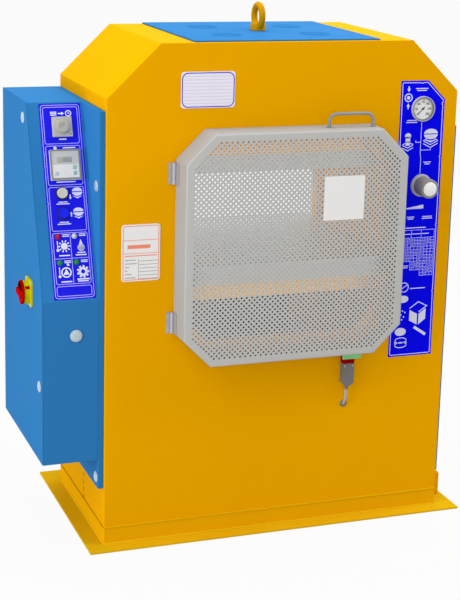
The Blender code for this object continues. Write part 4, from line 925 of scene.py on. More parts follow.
def make_eyebolt():
    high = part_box("eyebolt")[1]
    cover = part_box("top_cover")[1].z + CLEAR
    wire = [
        (EYE_RING + EYE_WIRE * math.cos(turn), EYE_WIRE * math.sin(turn))
        for turn in (-math.tau * step / EYE_WIRE_STEPS for step in range(EYE_WIRE_STEPS))
    ]
    place = seat((0, 0, cover), (1, 0, 0), (0, 1, 0))
    ring_place = seat((0, 0, high.z - cover - EYE_RING - EYE_WIRE), (0, 1, 0), (0, 0, 1))
    ring = moved(revolve("eye_ring", wire, ring=True), ring_place)
    mesh = combined("UNION", revolve("eye_collar", scaled(EYE_COLLAR)), ring)
    show("lifting_eye", mesh, place, "zinc_yellow", replaces=["eyebolt"])


# Welds

BEAD = 0.0032
BEAD_STEP = 0.0024
BEAD_RIPPLE = 0.00035
BEAD_RIPPLE_TURN = 2.1
BEAD_END_SHARE = 0.45
BEAD_TAPER = 3  # lengths of its size over which a bead grows
BEAD_SIDES = 5
STITCH_BACK = 0.1945
STITCH_LOW = 0.060
STITCH_LENGTH = 0.011
STITCH_PITCH = 0.019
STITCH_SIZE = 0.010
STITCHES = 4
SEAM_SIZE = 0.0018


def weld_bead(name, start, end, wall, size=BEAD):
    """A rippled fillet along a line, in the corner between what lies below and a wall on one side."""
    start = Vector(start)
    along = Vector(end) - start
    count = max(3, int(along.length / BEAD_STEP))
    out = -Vector(wall)
    up = Vector((0, 0, 1))
    chance = random.Random(name)
    form = bmesh.new()
    rings = []
    for step in range(count + 1):
        share = step / count
        taper = min(1, BEAD_END_SHARE + min(share, 1 - share) * along.length / (size * BEAD_TAPER))
        reach = size * taper + BEAD_RIPPLE * (math.sin(step * BEAD_RIPPLE_TURN) + chance.uniform(-1, 1))
        middle = start + along * share
        corner = [form.verts.new(middle)]
        for side in range(BEAD_SIDES + 1):
            turn = math.pi / 2 * side / BEAD_SIDES
            corner.append(form.verts.new(middle + out * reach * math.cos(turn) + up * reach * math.sin(turn)))
        rings.append(corner)
    bridge(form, rings)
    form.faces.new(rings[0])
    form.faces.new(rings[-1])
    bmesh.ops.recalc_face_normals(form, faces=form.faces)
    return smooth(mesh_of(form, name))


def make_welds():
    """The beads round the plinth, and the seam and stitches on its left side."""
    low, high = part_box("plinth")
    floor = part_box("base_plate")[1].z + PRINT
    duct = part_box("side_duct")[0]
    beads = [
        weld_bead("front_weld", (low.x, low.y, floor), (high.x, low.y, floor), (0, 1, 0)),
        weld_bead("rear_weld", (low.x, high.y, floor), (high.x, high.y, floor), (0, -1, 0)),
        weld_bead("left_weld", (low.x, low.y, floor), (low.x, high.y, floor), (1, 0, 0)),
        weld_bead("front_seam", (low.x, low.y, high.z), (high.x, low.y, high.z), (0, 1, 0), SEAM_SIZE),
        weld_bead("right_weld", (high.x, low.y, floor), (high.x, duct.y, floor), (-1, 0, 0)),
    ]
    show("base_weld", joined("base_weld", *beads), WORLD, "base_yellow_painted_light")
    # The left seam and the stitches take the darker weld yellow: the seam's dark line is painted shadow at
    # the plinth's top edge
    beads = [weld_bead("left_seam", (low.x, low.y, high.z), (low.x, high.y, high.z), (1, 0, 0), SEAM_SIZE)]
    upright = Matrix(((0, 0, -1), (0, -1, 0), (1, 0, 0))).transposed().to_4x4()
    for number in range(STITCHES):
        bead = weld_bead(f"stitch_{number}", (0, 0, 0), (STITCH_LENGTH, 0, 0), (0, 1, 0), STITCH_SIZE)
        place = Matrix.Translation((low.x, FRONT_Y + STITCH_BACK, STITCH_LOW + number * STITCH_PITCH))
        beads.append(moved(bead, place @ upright))
    show("side_weld_painted_shade", joined("side_weld_painted_shade", *beads), WORLD, "weld_painted_shade")


# Press

RAM_EDGE = 0.002
GLAND_WIDTH = 0.022
GLAND_HEIGHT = 0.010
GLAND_EDGE = 0.0015
GLAND_BOLTS = 12
GLAND_BOLT_RADIUS = 0.006
GLAND_BOLT_HEIGHT = 0.005
GLAND_BOLT_INWARD = 0.001
CYLINDER_EDGE = 0.004
CYLINDER_FLOOR = 0.035


def make_press():
    """The ram and the cylinder, smooth, with the cylinder's gland ring and its bolts."""
    low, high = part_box("ram")
    radius = (high.x - low.x) / 2
    place = seat((0, 0, 0), (1, 0, 0), (0, 1, 0))
    under = high.z - RAM_EDGE
    profile = [(0, high.z), (radius - RAM_EDGE, high.z), (radius, under), (radius, low.z), (0, low.z)]
    mesh = revolve("press_ram", profile, FINE_STEPS)
    show("press_ram", mesh, place, "ram_steel", "ram", ["ram"])
    low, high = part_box("cylinder")
    outer = (high.x - low.x) / 2
    bore = radius + CLEAR
    gland = bore + GLAND_WIDTH
    step = high.z - GLAND_HEIGHT
    floor = low.z + CYLINDER_FLOOR
    profile = [
        (0, floor), (bore, floor), (bore, high.z - RAM_EDGE), (bore + RAM_EDGE, high.z),
        (gland - GLAND_EDGE, high.z), (gland, high.z - GLAND_EDGE), (gland, step),
        (outer - CYLINDER_EDGE, step), (outer, step - CYLINDER_EDGE), (outer, low.z + CYLINDER_EDGE),
        (outer - CYLINDER_EDGE, low.z), (0, low.z),
    ]
    mesh = revolve("press_cylinder", profile, FINE_STEPS)
    show("press_cylinder", mesh, place, "grey_paint", replaces=["cylinder"])
    reach = (gland + outer) / 2 - GLAND_BOLT_INWARD
    turns = [math.tau * (number + 0.5) / GLAND_BOLTS for number in range(GLAND_BOLTS)]
    places = [Matrix.Translation((reach * math.cos(turn), reach * math.sin(turn), step)) for turn in turns]
    place_screws("gland_bolts", places, GLAND_BOLT_RADIUS, GLAND_BOLT_HEIGHT)


# Labels. Edges are left, right, low and high. An art table holds shapes by name, and their numbers.

LEFT_NOTCH = (60, -60)
RIGHT_NOTCH = (240, 120)
TOP_NOTCH = (330, 210)
NOTCH_OUT = 1.2

# Control label, across from the cabinet's left face and up from the knee
CONTROL_EDGES = (29.3, 130.3, 4.0, 472.0)
CONTROL_CORNER = 2
CONTROL_DIVIDERS = (38.5, 164.5, 273.5, 372.5)
CONTROL_SQUARES = {"timer_body": 22.5, "controller_body": 33.8}
CONTROL_ROUNDS = {
    "stop_button": 7.4, "start_button": 7.4, "lamp_red": 5.4, "lamp_white": 5.4,
    "lamp_green_left": 5.4, "lamp_green_right": 5.4,
}
CONTROL_OUTER_INSET = 4.0
CONTROL_OUTER_CORNER = 7.0
CONTROL_INNER_INSET = 9.0
CONTROL_INNER_CORNER = 4.5
CONTROL_LINE = 1.5
CONTROL_GAP = 2.6
CONTROL_NOTCHES = (122, 233, 348)
CONTROL_NOTCH_RADIUS = 2.4

TIMER_ART = (
    ("ring", 18, 32, 6.5, 2.2),
    ("stroke", ((18, 36), (18, 32), (21, 30.4)), 1.6),
    ("arrow", -7, 32, 15, 7, 2.6, 0),
    ("text", -18, 35.6, (15, 15, 15), 2.2, 3.6),
    ("bar", 0, -30, 18, 2.8),
)
CONTROLLER_ART = (
    ("bar", 14, 41.0, 30, 3.0),
    ("disc", -20, 40.5, 4.0),
    ("bar", -20, 43.5, 3.0, 6),
    ("bar", 0, -40.5, 46, 2.8),
)
PRESS_ART = (("mould", 37, 3, 12.5, 9), ("text", 1, -20.5, (22, 32), 2.4, 4.4))
DOWN_ART = (("arrow", 19.5, -3, 12, 6, 3.0, -90),)
UP_ART = (("arrow", 19.5, -8, 12, 6, 3.0, 90),)
LAMP_ART = (("text", 19, 4, (16, 16), 2.2, 3.6), ("bar", 13, -45, 26, 2.8))
GAUGE_ART = (("bar", -2, -20, 2.2, 20), ("disc", -2, -32, 3.6))
SUN_ART = (("disc", 14, -23, 8), ("rays", 14, -23, 10, 9.6, 14.5, 3))
DROP_ART = (
    ("fill", (*arc(14, -27, 9, 200, 340, 10), (14, -8))),
    ("disc", 14, -28, 8.6),
    ("bar", 14, -39.5, 20, 2.4),
)
PUMP_ART = (
    ("ring", 14, -23, 11, 3),
    ("fill", ((6.5, -28.5), (21.5, -28.5), (14, -14.5))),
    ("arrow", 16, -2, 9, 6, 2.4, -40),
)
GEAR_ART = (("rays", 14, -23, 9, 9, 15, 5), ("ring", 14, -23, 8, 6), ("bar", 14, -40.5, 30, 3))

# What is drawn beside each node on the slope
CONTROL_ART = (
    ("timer_body", TIMER_ART),
    ("controller_body", CONTROLLER_ART),
    ("stop_button", PRESS_ART + DOWN_ART),
    ("start_button", PRESS_ART + UP_ART),
    ("lamp_red", LAMP_ART + SUN_ART + GAUGE_ART),
    ("lamp_white", LAMP_ART + DROP_ART),
    ("lamp_green_left", LAMP_ART + PUMP_ART + GAUGE_ART),
    ("lamp_green_right", LAMP_ART + GEAR_ART),
)


def show_label(name, loops, place, finish):
    mesh = flat(name, [scaled(loop) for loop in loops], 0, LABEL)
    show(name, mesh, at(place, 0, 0, PRINT / 2), finish)


def make_control_label():
    """The printed panel on the slope, with holes for what passes through it."""
    loops = [rounded(*CONTROL_EDGES, CONTROL_CORNER)]
    for node, half in CONTROL_SQUARES.items():
        middle = on_slope(node) / MM
        loops.append(rectangle(middle.x - half, middle.x + half, middle.y - half, middle.y + half))
    for node, radius in CONTROL_ROUNDS.items():
        middle = on_slope(node) / MM
        loops.append(circle(middle.x, middle.y, radius))
    show_label("control_label", loops, SLOPE, "control_blue")
    make_control_lines()
    signs = Sketch()
    for node, art in CONTROL_ART:
        middle = on_slope(node) / MM
        signs.draw(art, middle.x, middle.y)
    signs.printed("control_signs", SLOPE, LABEL + PRINT, "print_white")


def make_control_lines():
    """The rounded double frames, with small notches in the outer one."""
    lines = Sketch()
    edges = inset(CONTROL_EDGES, CONTROL_OUTER_INSET)
    corners = [corner(edges, CONTROL_OUTER_CORNER, quarter) for quarter in range(4)]
    loop = corners[3]
    for notch in CONTROL_NOTCHES:
        loop += arc(edges[1] + NOTCH_OUT, notch, CONTROL_NOTCH_RADIUS, *RIGHT_NOTCH)
    loop += corners[0] + corners[1]
    for notch in reversed(CONTROL_NOTCHES):
        loop += arc(edges[0] - NOTCH_OUT, notch, CONTROL_NOTCH_RADIUS, *LEFT_NOTCH)
    lines.stroke(loop + corners[2], CONTROL_LINE, closed=True)
    left, right, low, high = inset(CONTROL_EDGES, CONTROL_INNER_INSET)
    heights = (low - CONTROL_GAP, *CONTROL_DIVIDERS, high + CONTROL_GAP)
    for low, high in zip(heights, heights[1:]):
        edges = (left, right, low + CONTROL_GAP, high - CONTROL_GAP)
        lines.frame(edges, CONTROL_INNER_CORNER, CONTROL_LINE)
    low = CONTROL_DIVIDERS[0] + CONTROL_GAP
    high = CONTROL_DIVIDERS[1] - CONTROL_GAP
    middle = (left + right) / 2
    lines.bar(middle, (low + high) / 2, CONTROL_LINE, high - low)
    lines.bar(middle, (low + high) / 2, right - left, CONTROL_LINE)
    lines.printed("control_lines", SLOPE, LABEL + PRINT, "line_lilac")


# Operation label, on the front
OPERATION_EDGES = (294.5, 416.0, 422.0, 1129.6)
OPERATION_CHAMFER = 47.0
OPERATION_INSET = 4.5
OPERATION_LINE = 1.8
OPERATION_LOW_CORNER = 4
OPERATION_TOP_CORNER = 3
OPERATION_NOTCHES = (590, 763, 938, 1071)
OPERATION_TOP_NOTCH = 352
OPERATION_NOTCH_RADIUS = 3.6
GAUGE_HOLE = 30.0
REGULATOR_HOLE = 12.5

# The line from the gauge to the regulator, as drops below the gauge
LEADER_LINE = 1.4
LEADER_TOP = 33
LEADER_KNEE = 112
LEADER_FOOT = 126
LEADER_LEFT = 4  # of the regulator's middle
LEADER_END = 29  # above the regulator's middle
LEADER_ART = (
    ("stroke", ((0, -84), (-14, -84), (-14, -79)), LEADER_LINE),
    ("stroke", ((0, -104), (28, -104), (28, -98)), LEADER_LINE),
)

TABLE_INDENT = 12
TABLE_TOP = 732
TABLE_HEAD = 752
TABLE_RIGHT = 407
TABLE_UP = 7.6
TABLE_LINE = 1.0
TABLE_DEPTHS = (8, 8, 8, 8, 11, 11, 11, 13, 13, 13, 13)  # rows under each column
TABLE_HEAD_COLUMNS = (0, 4, 7, 11)
TABLE_SEED = 7
HEADLINE_WIDTH = 70
HEADLINE_HEIGHT = 2.0
CELL_SHARE = 0.8
CELL_WIDTHS = (1.8, 3.4)
CELL_HEIGHT = 1.6

# Bars that stand for lines of text: the middle, the first line's height, and the lines' lengths
OPERATION_TEXT = (
    (352, 1110, (34, 26)),
    (328, 1031, (26, 30)),
    (376, 925, (20, 14)),
    (338, 786, (20, 16)),
    (384, 786, (26, 28)),
    (352, 758, (60,)),
    (324, 660, (30, 26)),
    (368, 600, (42,)),
)
TEXT_HEIGHT = 2.2
TEXT_PITCH = 4.8

# Drawings by where they are: from the frame's left edge and the gauge's middle, from the gauge's middle,
# from the left edge and the regulator's middle, and from the left edge and the floor
UPPER_LEFT_ART = (
    ("arrow", 17, 56, 14, 8, 3.4, -90),
    ("ring", 17, 28, 9.5, 2.6),
    ("disc", 17, 28, 4.5),
    ("arrow", 17, 0, 14, 8, 3.4, 90),
    ("stroke", ((6, -97), (21, -104.5), (36, -97)), 2),
    ("stroke", ((6, -90), (21, -97.5), (36, -90)), 2),
    ("stroke", ((6, -90), (21, -81), (36, -90)), 2),
    ("bar", 21, -80, 12, 22.5),
    ("ellipse", 21, -67, 8.25, 6.75),
)
UPPER_RIGHT_ART = (
    ("stroke", ((7, -88), (27, -98), (47, -88)), 2),
    ("stroke", ((7, -81), (27, -91), (47, -81)), 2),
    ("stroke", ((7, -81), (27, -69), (47, -81)), 2),
    ("mould", 27, -64, 19, 12),
)
WEDGE_ART = (("fill", ((14, -59.2), (14, -60.2), (73, -60), (73, -50))),)
LOWER_ART = (
    ("ring", 31, 604, 12, 2.2),
    ("stroke", ((23, 599), (39, 610)), 1.8),
    ("ellipse", 30, 573, 15, 9.5),
    ("dots", ((22, 546), (30, 542), (37, 538), (26, 532), (34, 526), (29, 519)), 2),
    ("ellipse", 27, 487, 15.5, 10.5),
    ("oval", 29, 452, 16, 7, 2),
    ("oval", 29, 464, 16, 7, 2),
    ("bar", 13, 458, 2, 12),
    ("bar", 45, 458, 2, 12),
    ("fill", ((50, 515.6), (72, 503.6), (72, 531.6), (50, 543.6))),
    ("fill", ((76, 503.6), (95.6, 517.6), (95.6, 545.6), (76, 531.6))),
    ("stroke", ((50, 547.6), (74, 563.6), (98, 551.6), (76, 536.6)), 2.4),
    ("stroke", ((64.4, 497.6), (98, 475.6)), 7),
)


def make_operation_label():
    """The printed panel on the right of the front, round the gauge and the regulator."""
    gauge = middle_of("gauge_case") / MM
    regulator = middle_of("regulator_base") / MM
    left, right, low, high = OPERATION_EDGES
    cut = OPERATION_CHAMFER
    loops = [
        [(left, low), (right, low), (right, high - cut), (right - cut, high), (left, high)],
        circle(gauge.x, gauge.z, GAUGE_HOLE),
        circle(regulator.x, regulator.z, REGULATOR_HOLE),
    ]
    show_label("operation_label", loops, FRONT, "label_blue")
    make_operation_lines(gauge, regulator)
    make_operation_table()
    left = left + OPERATION_INSET
    signs = Sketch()
    for across, up, widths in OPERATION_TEXT:
        signs.text(across, up, widths, TEXT_HEIGHT, TEXT_PITCH)
    signs.draw(UPPER_LEFT_ART, left, gauge.z)
    signs.draw(UPPER_RIGHT_ART, gauge.x, gauge.z)
    signs.draw(WEDGE_ART, left, regulator.z)
    signs.draw(LOWER_ART, left, 0)
    signs.printed("operation_signs", FRONT, LABEL + PRINT, "print_white")


def make_operation_lines(gauge, regulator):
    """The notched frame, and the line that leads from the gauge to the regulator."""
    edges = inset(OPERATION_EDGES, OPERATION_INSET)
    left, right, low, high = edges
    cut = OPERATION_CHAMFER - OPERATION_INSET * (2 - math.sqrt(2))
    loop = corner(edges, OPERATION_LOW_CORNER, 3)
    for notch in OPERATION_NOTCHES:
        loop += arc(right + NOTCH_OUT, notch, OPERATION_NOTCH_RADIUS, *RIGHT_NOTCH)
    loop += [(right, high - cut), (right - cut, high)]
    loop += arc(OPERATION_TOP_NOTCH, high + NOTCH_OUT, OPERATION_NOTCH_RADIUS, *TOP_NOTCH)
    loop += corner(edges, OPERATION_TOP_CORNER, 1) + corner(edges, OPERATION_TOP_CORNER, 2)
    lines = Sketch()
    lines.stroke(loop, OPERATION_LINE, closed=True)
    stem = regulator.x - LEADER_LEFT
    leader = [
        (gauge.x, gauge.z - LEADER_TOP), (gauge.x, gauge.z - LEADER_KNEE), (stem, gauge.z - LEADER_FOOT),
        (stem, regulator.z + LEADER_END),
    ]
    lines.stroke(leader, LEADER_LINE)
    lines.draw(LEADER_ART, gauge.x, gauge.z)
    lines.printed("operation_lines", FRONT, LABEL + PRINT, "line_bright")


def make_operation_table():
    """A stepped table under a headline, with a bar in most of its cells."""
    left = OPERATION_EDGES[0] + TABLE_INDENT
    middle = (left + TABLE_RIGHT) / 2
    across = (TABLE_RIGHT - left) / len(TABLE_DEPTHS)
    lines = Sketch()
    lines.bar(middle, TABLE_HEAD, TABLE_RIGHT - left, TABLE_LINE)
    for row in range(max(TABLE_DEPTHS) + 1):
        start = min(column for column, depth in enumerate(TABLE_DEPTHS) if depth >= row)
        wide = (len(TABLE_DEPTHS) - start) * across
        lines.bar(TABLE_RIGHT - wide / 2, TABLE_TOP - row * TABLE_UP, wide, TABLE_LINE)
    for column, depth in enumerate((*TABLE_DEPTHS, TABLE_DEPTHS[-1])):
        high = TABLE_HEAD if column in TABLE_HEAD_COLUMNS else TABLE_TOP
        low = TABLE_TOP - depth * TABLE_UP
        lines.bar(left + column * across, (high + low) / 2, TABLE_LINE, high - low)
    lines.printed("operation_table", FRONT, LABEL + PRINT, "line_bright")
    cells = Sketch()
    cells.bar(middle, (TABLE_HEAD + TABLE_TOP) / 2, HEADLINE_WIDTH, HEADLINE_HEIGHT)
    chance = random.Random(TABLE_SEED)
    for column, depth in enumerate(TABLE_DEPTHS):
        for row in range(depth):
            if chance.random() < CELL_SHARE:
                up = TABLE_TOP - (row + 0.5) * TABLE_UP
                cells.bar(left + (column + 0.5) * across, up, chance.uniform(*CELL_WIDTHS), CELL_HEIGHT)
    cells.printed("operation_cells", FRONT, LABEL + PRINT, "print_white")


NAME_INSET = 3.2
NAME_CORNER = 14
NAME_OUTLINE = 2.4
NAME_RULES = 10
NAME_RULE = 0.9
RATING_INSET = 4
RATING_CORNER = 5
RATING_OUTLINE = 1.8
RATING_PITCH = 8.6

# From the rating plate's middle and the top of its outline
RATING_ART = (
    ("bar", 0, -34, 87, 1.4),
    ("bar", 0, -66, 87, 1.4),
    ("bar", 0, -72, 79, 2.4),
    ("bar", -5, -50, 56, 9),
)
ROWS_LEFT = -38.5
ROWS_TOP = -82
ROW_WIDTHS = (26, 29, 10, 6, 16, 26)
ROW_HEIGHT = 1.8
RULE_DROP = 3
RULE_MIDDLE = 19
RULE_WIDTH = 45
RULE_HEIGHT = 1.2
ROWS_ART = (("bar", -5.5, -104, 1.0, 50),)


def plate_face(node, by):
    """A plate's outline inside its edges, and how far ink on it stands off the front."""
    return inset(edges_of(node), by), FRONT_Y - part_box(node)[0].y + PRINT


def make_plate_prints():
    """The outlines, rules and bars on the name plate and the rating plate."""
    edges, off = plate_face("name_plate", NAME_INSET)
    left, right, low, high = edges
    outline = Sketch()
    outline.frame(edges, NAME_CORNER, NAME_OUTLINE)
    outline.printed("name_outline", FRONT, off, "print_blue")
    rules = Sketch()
    for number in range(1, NAME_RULES):
        up = low + (high - low) * number / NAME_RULES
        rules.bar((left + right) / 2, up, right - left - NAME_INSET * 2, NAME_RULE)
    rules.printed("name_rules", FRONT, off, "rule_lilac")
    edges, off = plate_face("rating_plate", RATING_INSET)
    left, right, low, high = edges
    middle = (left + right) / 2
    border = Sketch()
    border.frame(edges, RATING_CORNER, RATING_OUTLINE)
    border.draw(RATING_ART, middle, high)
    border.printed("rating_border", FRONT, off, "print_coral")
    rows = Sketch()
    for row, width in enumerate(ROW_WIDTHS):
        up = high + ROWS_TOP - row * RATING_PITCH
        rows.bar(middle + RULE_MIDDLE, up - RULE_DROP, RULE_WIDTH, RULE_HEIGHT)
        rows.bar(middle + ROWS_LEFT + width / 2, up, width, ROW_HEIGHT)
    rows.draw(ROWS_ART, middle, high)
    rows.printed("rating_rows", FRONT, off, "print_grey")


# Instruments. Profiles are radius and height off the surface. Corners are two ends of a box.

TIMER_FACE = 0.006
TIMER_DIAL = (
    (0, 5.4), (6.93, 5.4), (8.25, 6.8), (14.85, 7), (16.005, 6.5), (16.5, 5.6), (16.5, 0.3), (0, 0.3),
)
TIMER_FLUTES = (24, 0.0006, (5, 6))
TIMER_POINTER = ((-1.2, 2, 4.8), (1.2, 15.18, 7.4))
TIMER_POINTER_EDGE = 0.0003
TIMER_START = 225
TIMER_STEP = 27
TIMER_MARKS = 11
TIMER_MARK_ENDS = (17.6, 19.6)
TIMER_MARK_LINE = 0.5
TIMER_DOT = (18.5, -18.5, 1.7)
TIMER_STRIP_ART = (("bar", 15.5, 20.5, 10, 1.6),)


def make_timer():
    """The timer's dial and the marks round it."""
    face = slope_place("timer_body", CLEAR + TIMER_FACE)
    dial = revolve("timer_dial", scaled(TIMER_DIAL), FINE_STEPS, flutes=TIMER_FLUTES)
    pointer = slab("pointer", *scaled(TIMER_POINTER), TIMER_POINTER_EDGE)
    mesh = joined("timer_dial", dial, pointer)
    show("timer_dial", mesh, face, "dial_beige", "timer", ["timer_knob"])
    marks = Sketch()
    for number in range(TIMER_MARKS):
        marks.stroke(spoke(TIMER_START - TIMER_STEP * number, *TIMER_MARK_ENDS), TIMER_MARK_LINE)
    marks.disc(*TIMER_DOT)
    marks.printed("timer_marks", face, PRINT, "print_dark")
    Sketch(TIMER_STRIP_ART).printed("timer_strip", face, PRINT, "yellow_plastic")


CONTROLLER_FACE = 0.008
CONTROLLER_RIM = ((-36.2, 36.2, -36.2, 36.2, 2), (-32.2, 32.2, -32.2, 32.2, 1.5))
CONTROLLER_RIM_HEIGHT = 0.0012
CONTROLLER_UPPER_ART = (("bar", 0, 15.5, 62, 31),)
CONTROLLER_SCREEN = ((-19.5, 5, 0.06), (15.5, 18, 0.6))
CONTROLLER_SCREEN_EDGE = 0.0002
CONTROLLER_SCREEN_TOP = 0.0006
CONTROLLER_FIGURES_ART = (("digits", "180", -2, 11.5, 7, 0.9),)
CONTROLLER_MARK_ART = (("frame", (-4.5, 4.5, -24.5, -15.5), 1.5, 0.9),)


def make_controller():
    """The controller's rim, its grey upper panel, its screen and the mark between the keys."""
    face = slope_place("controller_body", CLEAR + CONTROLLER_FACE)
    loops = [scaled(rounded(*sizes)) for sizes in CONTROLLER_RIM]
    rim = flat("controller_frame", loops, PRINT, CONTROLLER_RIM_HEIGHT)
    show("controller_frame", rim, face, "bezel_grey")
    Sketch(CONTROLLER_UPPER_ART).printed("controller_upper", face, PRINT, "panel_grey")
    screen = slab("screen", *scaled(CONTROLLER_SCREEN), CONTROLLER_SCREEN_EDGE)
    show("controller_screen", screen, at(face, 0, 0, PRINT), "screen_grey")
    off = CONTROLLER_SCREEN_TOP + PRINT * 2
    Sketch(CONTROLLER_FIGURES_ART).printed("controller_figures", face, off, "screen_dark")
    Sketch(CONTROLLER_MARK_ART).printed("controller_mark", face, PRINT, "pink_print")


BUTTON = (
    (0, 8.9), (6.25, 9.2), (10.25, 9.9), (11.25, 10), (12.125, 9.6), (12.5, 8.8), (12.5, 5.5),
    (7, 5.5), (7, -30), (0, -30),
)
BUTTON_BEZEL = ((12.9, 3.8), (13.3, 4.2), (13.8, 4.2), (14.7, 3.6), (15, 2.6), (15, 0), (12.9, 0))
BUTTON_FINISHES = {"stop": ("beige_plastic", "pale_plastic"), "start": ("blue_plastic", "blue_plastic")}
SIGNAL_LENS = (*dome(5.7, 1.5, 4.6), (6.4, 1.5), (6.7, 1.1), (6.7, 0.3), (5, 0.3), (5, -20), (0, -20))
SIGNAL_FINISHES = {
    "red": ("lamp_red", "red_plastic"),
    "white": ("lamp_white", "white_plastic"),
    "green_left": ("lamp_green", "green_plastic"),
    "green_right": ("lamp_green", "green_plastic"),
}


def make_buttons():
    for body, (finish, slot) in BUTTON_FINISHES.items():
        place = slope_place(body + "_button")
        show_turned(body + "_cap", BUTTON, place, finish, body, [body + "_button"], slot)
        bezel = at(place, 0, 0, LABEL + PRINT)
        show_turned(body + "_bezel", BUTTON_BEZEL, bezel, "dark_plastic", slot="dark_plastic", ring=True)


def make_lamps():
    for which, (finish, slot) in SIGNAL_FINISHES.items():
        node = "lamp_" + which
        show_turned(
            "lens_" + which, SIGNAL_LENS, slope_place(node), finish, replaces=[node], slot=slot,
            steps=SMALL_STEPS,
        )


SWITCH_DISC = (
    (0, 24), (26.4, 24), (29.1, 23.4), (30, 22.2), (30, 18.9), (29.4, 18.3), (7, 18.3), (7, 6), (0, 6),
)
SWITCH_STEPS = 144
SWITCH_FLUTES = (36, 0.0007, (3, 4))
SWITCH_TOP = 0.024
SWITCH_GRIP = ((-27.8, -7.2, 23), (27.8, 7.2, 30.5))
SWITCH_GRIP_EDGE = 0.002
SWITCH_GRIP_EDGE_STEPS = 4
SWITCH_GRIP_TOP = 0.022  # half the grip's length at its top
# A thin dark half-moon sheet on the disc's top, above the grip: painted shade
SHADE_SHEET_RADIUS = 0.0268
SHADE_SHEET_LOW = 0.0084
SHADE_SHEET_STEPS = 16
SWITCH_SCREW_PLACE = 0.0265
SWITCH_SCREW_OFF = 0.004
SWITCH_SCREW_RADIUS = 0.0028
SWITCH_SCREW_HEIGHT = 0.0012
MARK_RADII = (0.0286, 0.0276)
MARK_TURNS = (27, 43)
MARK_HEIGHTS = (0.0055, 0.0165)


def make_switch():
    """The rotary handle, and the screws and mark of its base."""
    middle = middle_of("switch_base")
    place = at(LEFT_FACE, -middle.y, middle.z)
    disc = revolve("switch_disc", scaled(SWITCH_DISC), SWITCH_STEPS, flutes=SWITCH_FLUTES)
    low, high = scaled(SWITCH_GRIP)
    grip = slab("grip", low, high, SWITCH_GRIP_EDGE, SWITCH_GRIP_EDGE_STEPS)
    for vertex in grip.vertices:
        rise = (vertex.co.z - low[2]) / (high[2] - low[2])
        vertex.co.x *= 1 - rise * (1 - SWITCH_GRIP_TOP / high[0])
    handle = combined("UNION", disc, grip)
    show("switch_turn", handle, place, "red_plastic", "main_switch", ["switch_handle"])
    # A thin dark red half-moon on the disc's top, above the grip: painted shade that stands for a shaded
    # recess
    start = math.degrees(math.asin(SHADE_SHEET_LOW / SHADE_SHEET_RADIUS))
    shade_sheet = flat("switch_painted_shade", [arc(0, 0, SHADE_SHEET_RADIUS, start, 180 - start, SHADE_SHEET_STEPS)], PRINT, LABEL)
    shade_sheet_place = at(place, 0, 0, SWITCH_TOP)
    show("switch_painted_shade", shade_sheet, shade_sheet_place, "switch_shade_red", "main_switch")
    corners = (-SWITCH_SCREW_PLACE, SWITCH_SCREW_PLACE)
    places = [at(place, across, up, SWITCH_SCREW_OFF) for across in corners for up in corners]
    place_screws("switch_screws", places, SWITCH_SCREW_RADIUS, SWITCH_SCREW_HEIGHT)
    outer, inner = MARK_RADII
    start, end = MARK_TURNS
    mark = flat("switch_mark", [arc(0, 0, outer, start, end) + arc(0, 0, inner, end, start)], *MARK_HEIGHTS)
    show("switch_mark", mark, place, "red_plastic")


GAUGE_HOUSING = (
    (0, 2.3), (29.2, 2.3), (29.2, 7.7), (29.6, 8.3), (30.4, 8.3), (31.1, 7.8), (31.4, 6.7), (31.4, 1.6),
    (30.4, 0.3), (29.5, 0.3), (29.5, -28), (0, -28),
)
GAUGE_SEEN = 26.2
GAUGE_SEEN_EDGE = 26.8
GAUGE_MOUTH = 28
GAUGE_LIP = 0.8
GAUGE_BEZEL = ((28, 6.9), (28.3, 7.3), (29.14, 7.9), (29.14, 2.58), (26.2, 2.58))
GAUGE_DIAL = 0.0023
GAUGE_DIAL_RADIUS = 0.0277
GAUGE_START = 225
GAUGE_MARKS = 31
GAUGE_MARK_STEP = 9
GAUGE_MARK_LINE = 0.9
GAUGE_MARK_OUT = 25.4
GAUGE_MARK_LONG = 22.0
GAUGE_MARK_SHORT = 23.4
GAUGE_ARC = (-45, 225, 48)
GAUGE_ARC_LINE = 0.5
GAUGE_NUMBERS = 7
GAUGE_NUMBER_STEP = 50
GAUGE_NUMBER_REACH = 17.6
GAUGE_NUMBER_HEIGHT = 4.4
GAUGE_NUMBER_LINE = 1.0


def make_gauge():
    """The gauge's ringed case, its dial and the numbers on it."""
    place = front_place("gauge_case")
    show_turned(
        "gauge_housing", GAUGE_HOUSING, place, "flange_grey", replaces=["gauge_case"], slot="dark_plastic",
        steps=FINE_STEPS,
    )
    under = (FRONT_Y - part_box("gauge_lens")[1].y - CLEAR) / MM
    lip = ((GAUGE_SEEN, under - GAUGE_LIP), (GAUGE_SEEN_EDGE, under), (GAUGE_MOUTH, under))
    show_turned(
        "gauge_bezel", lip + GAUGE_BEZEL, place, "rim_grey", slot="dark_plastic", steps=FINE_STEPS, ring=True
    )
    dial = flat("gauge_dial", [circle(0, 0, GAUGE_DIAL_RADIUS, TURN_STEPS)], PRINT, LABEL)
    show("gauge_dial", dial, at(place, 0, 0, GAUGE_DIAL), "white_inlay")
    marks = Sketch()
    for number in range(GAUGE_MARKS):
        start = GAUGE_MARK_SHORT if number % 5 else GAUGE_MARK_LONG
        marks.stroke(spoke(GAUGE_START - GAUGE_MARK_STEP * number, start, GAUGE_MARK_OUT), GAUGE_MARK_LINE)
    marks.stroke(arc(0, 0, GAUGE_MARK_OUT, *GAUGE_ARC), GAUGE_ARC_LINE)
    for number in range(GAUGE_NUMBERS):
        middle = spoke(GAUGE_START - GAUGE_MARK_STEP * 5 * number, GAUGE_NUMBER_REACH)[0]
        marks.digits(str(number * GAUGE_NUMBER_STEP), *middle, GAUGE_NUMBER_HEIGHT, GAUGE_NUMBER_LINE)
    marks.printed("gauge_marks", place, GAUGE_DIAL + LABEL + PRINT, "print_dark")


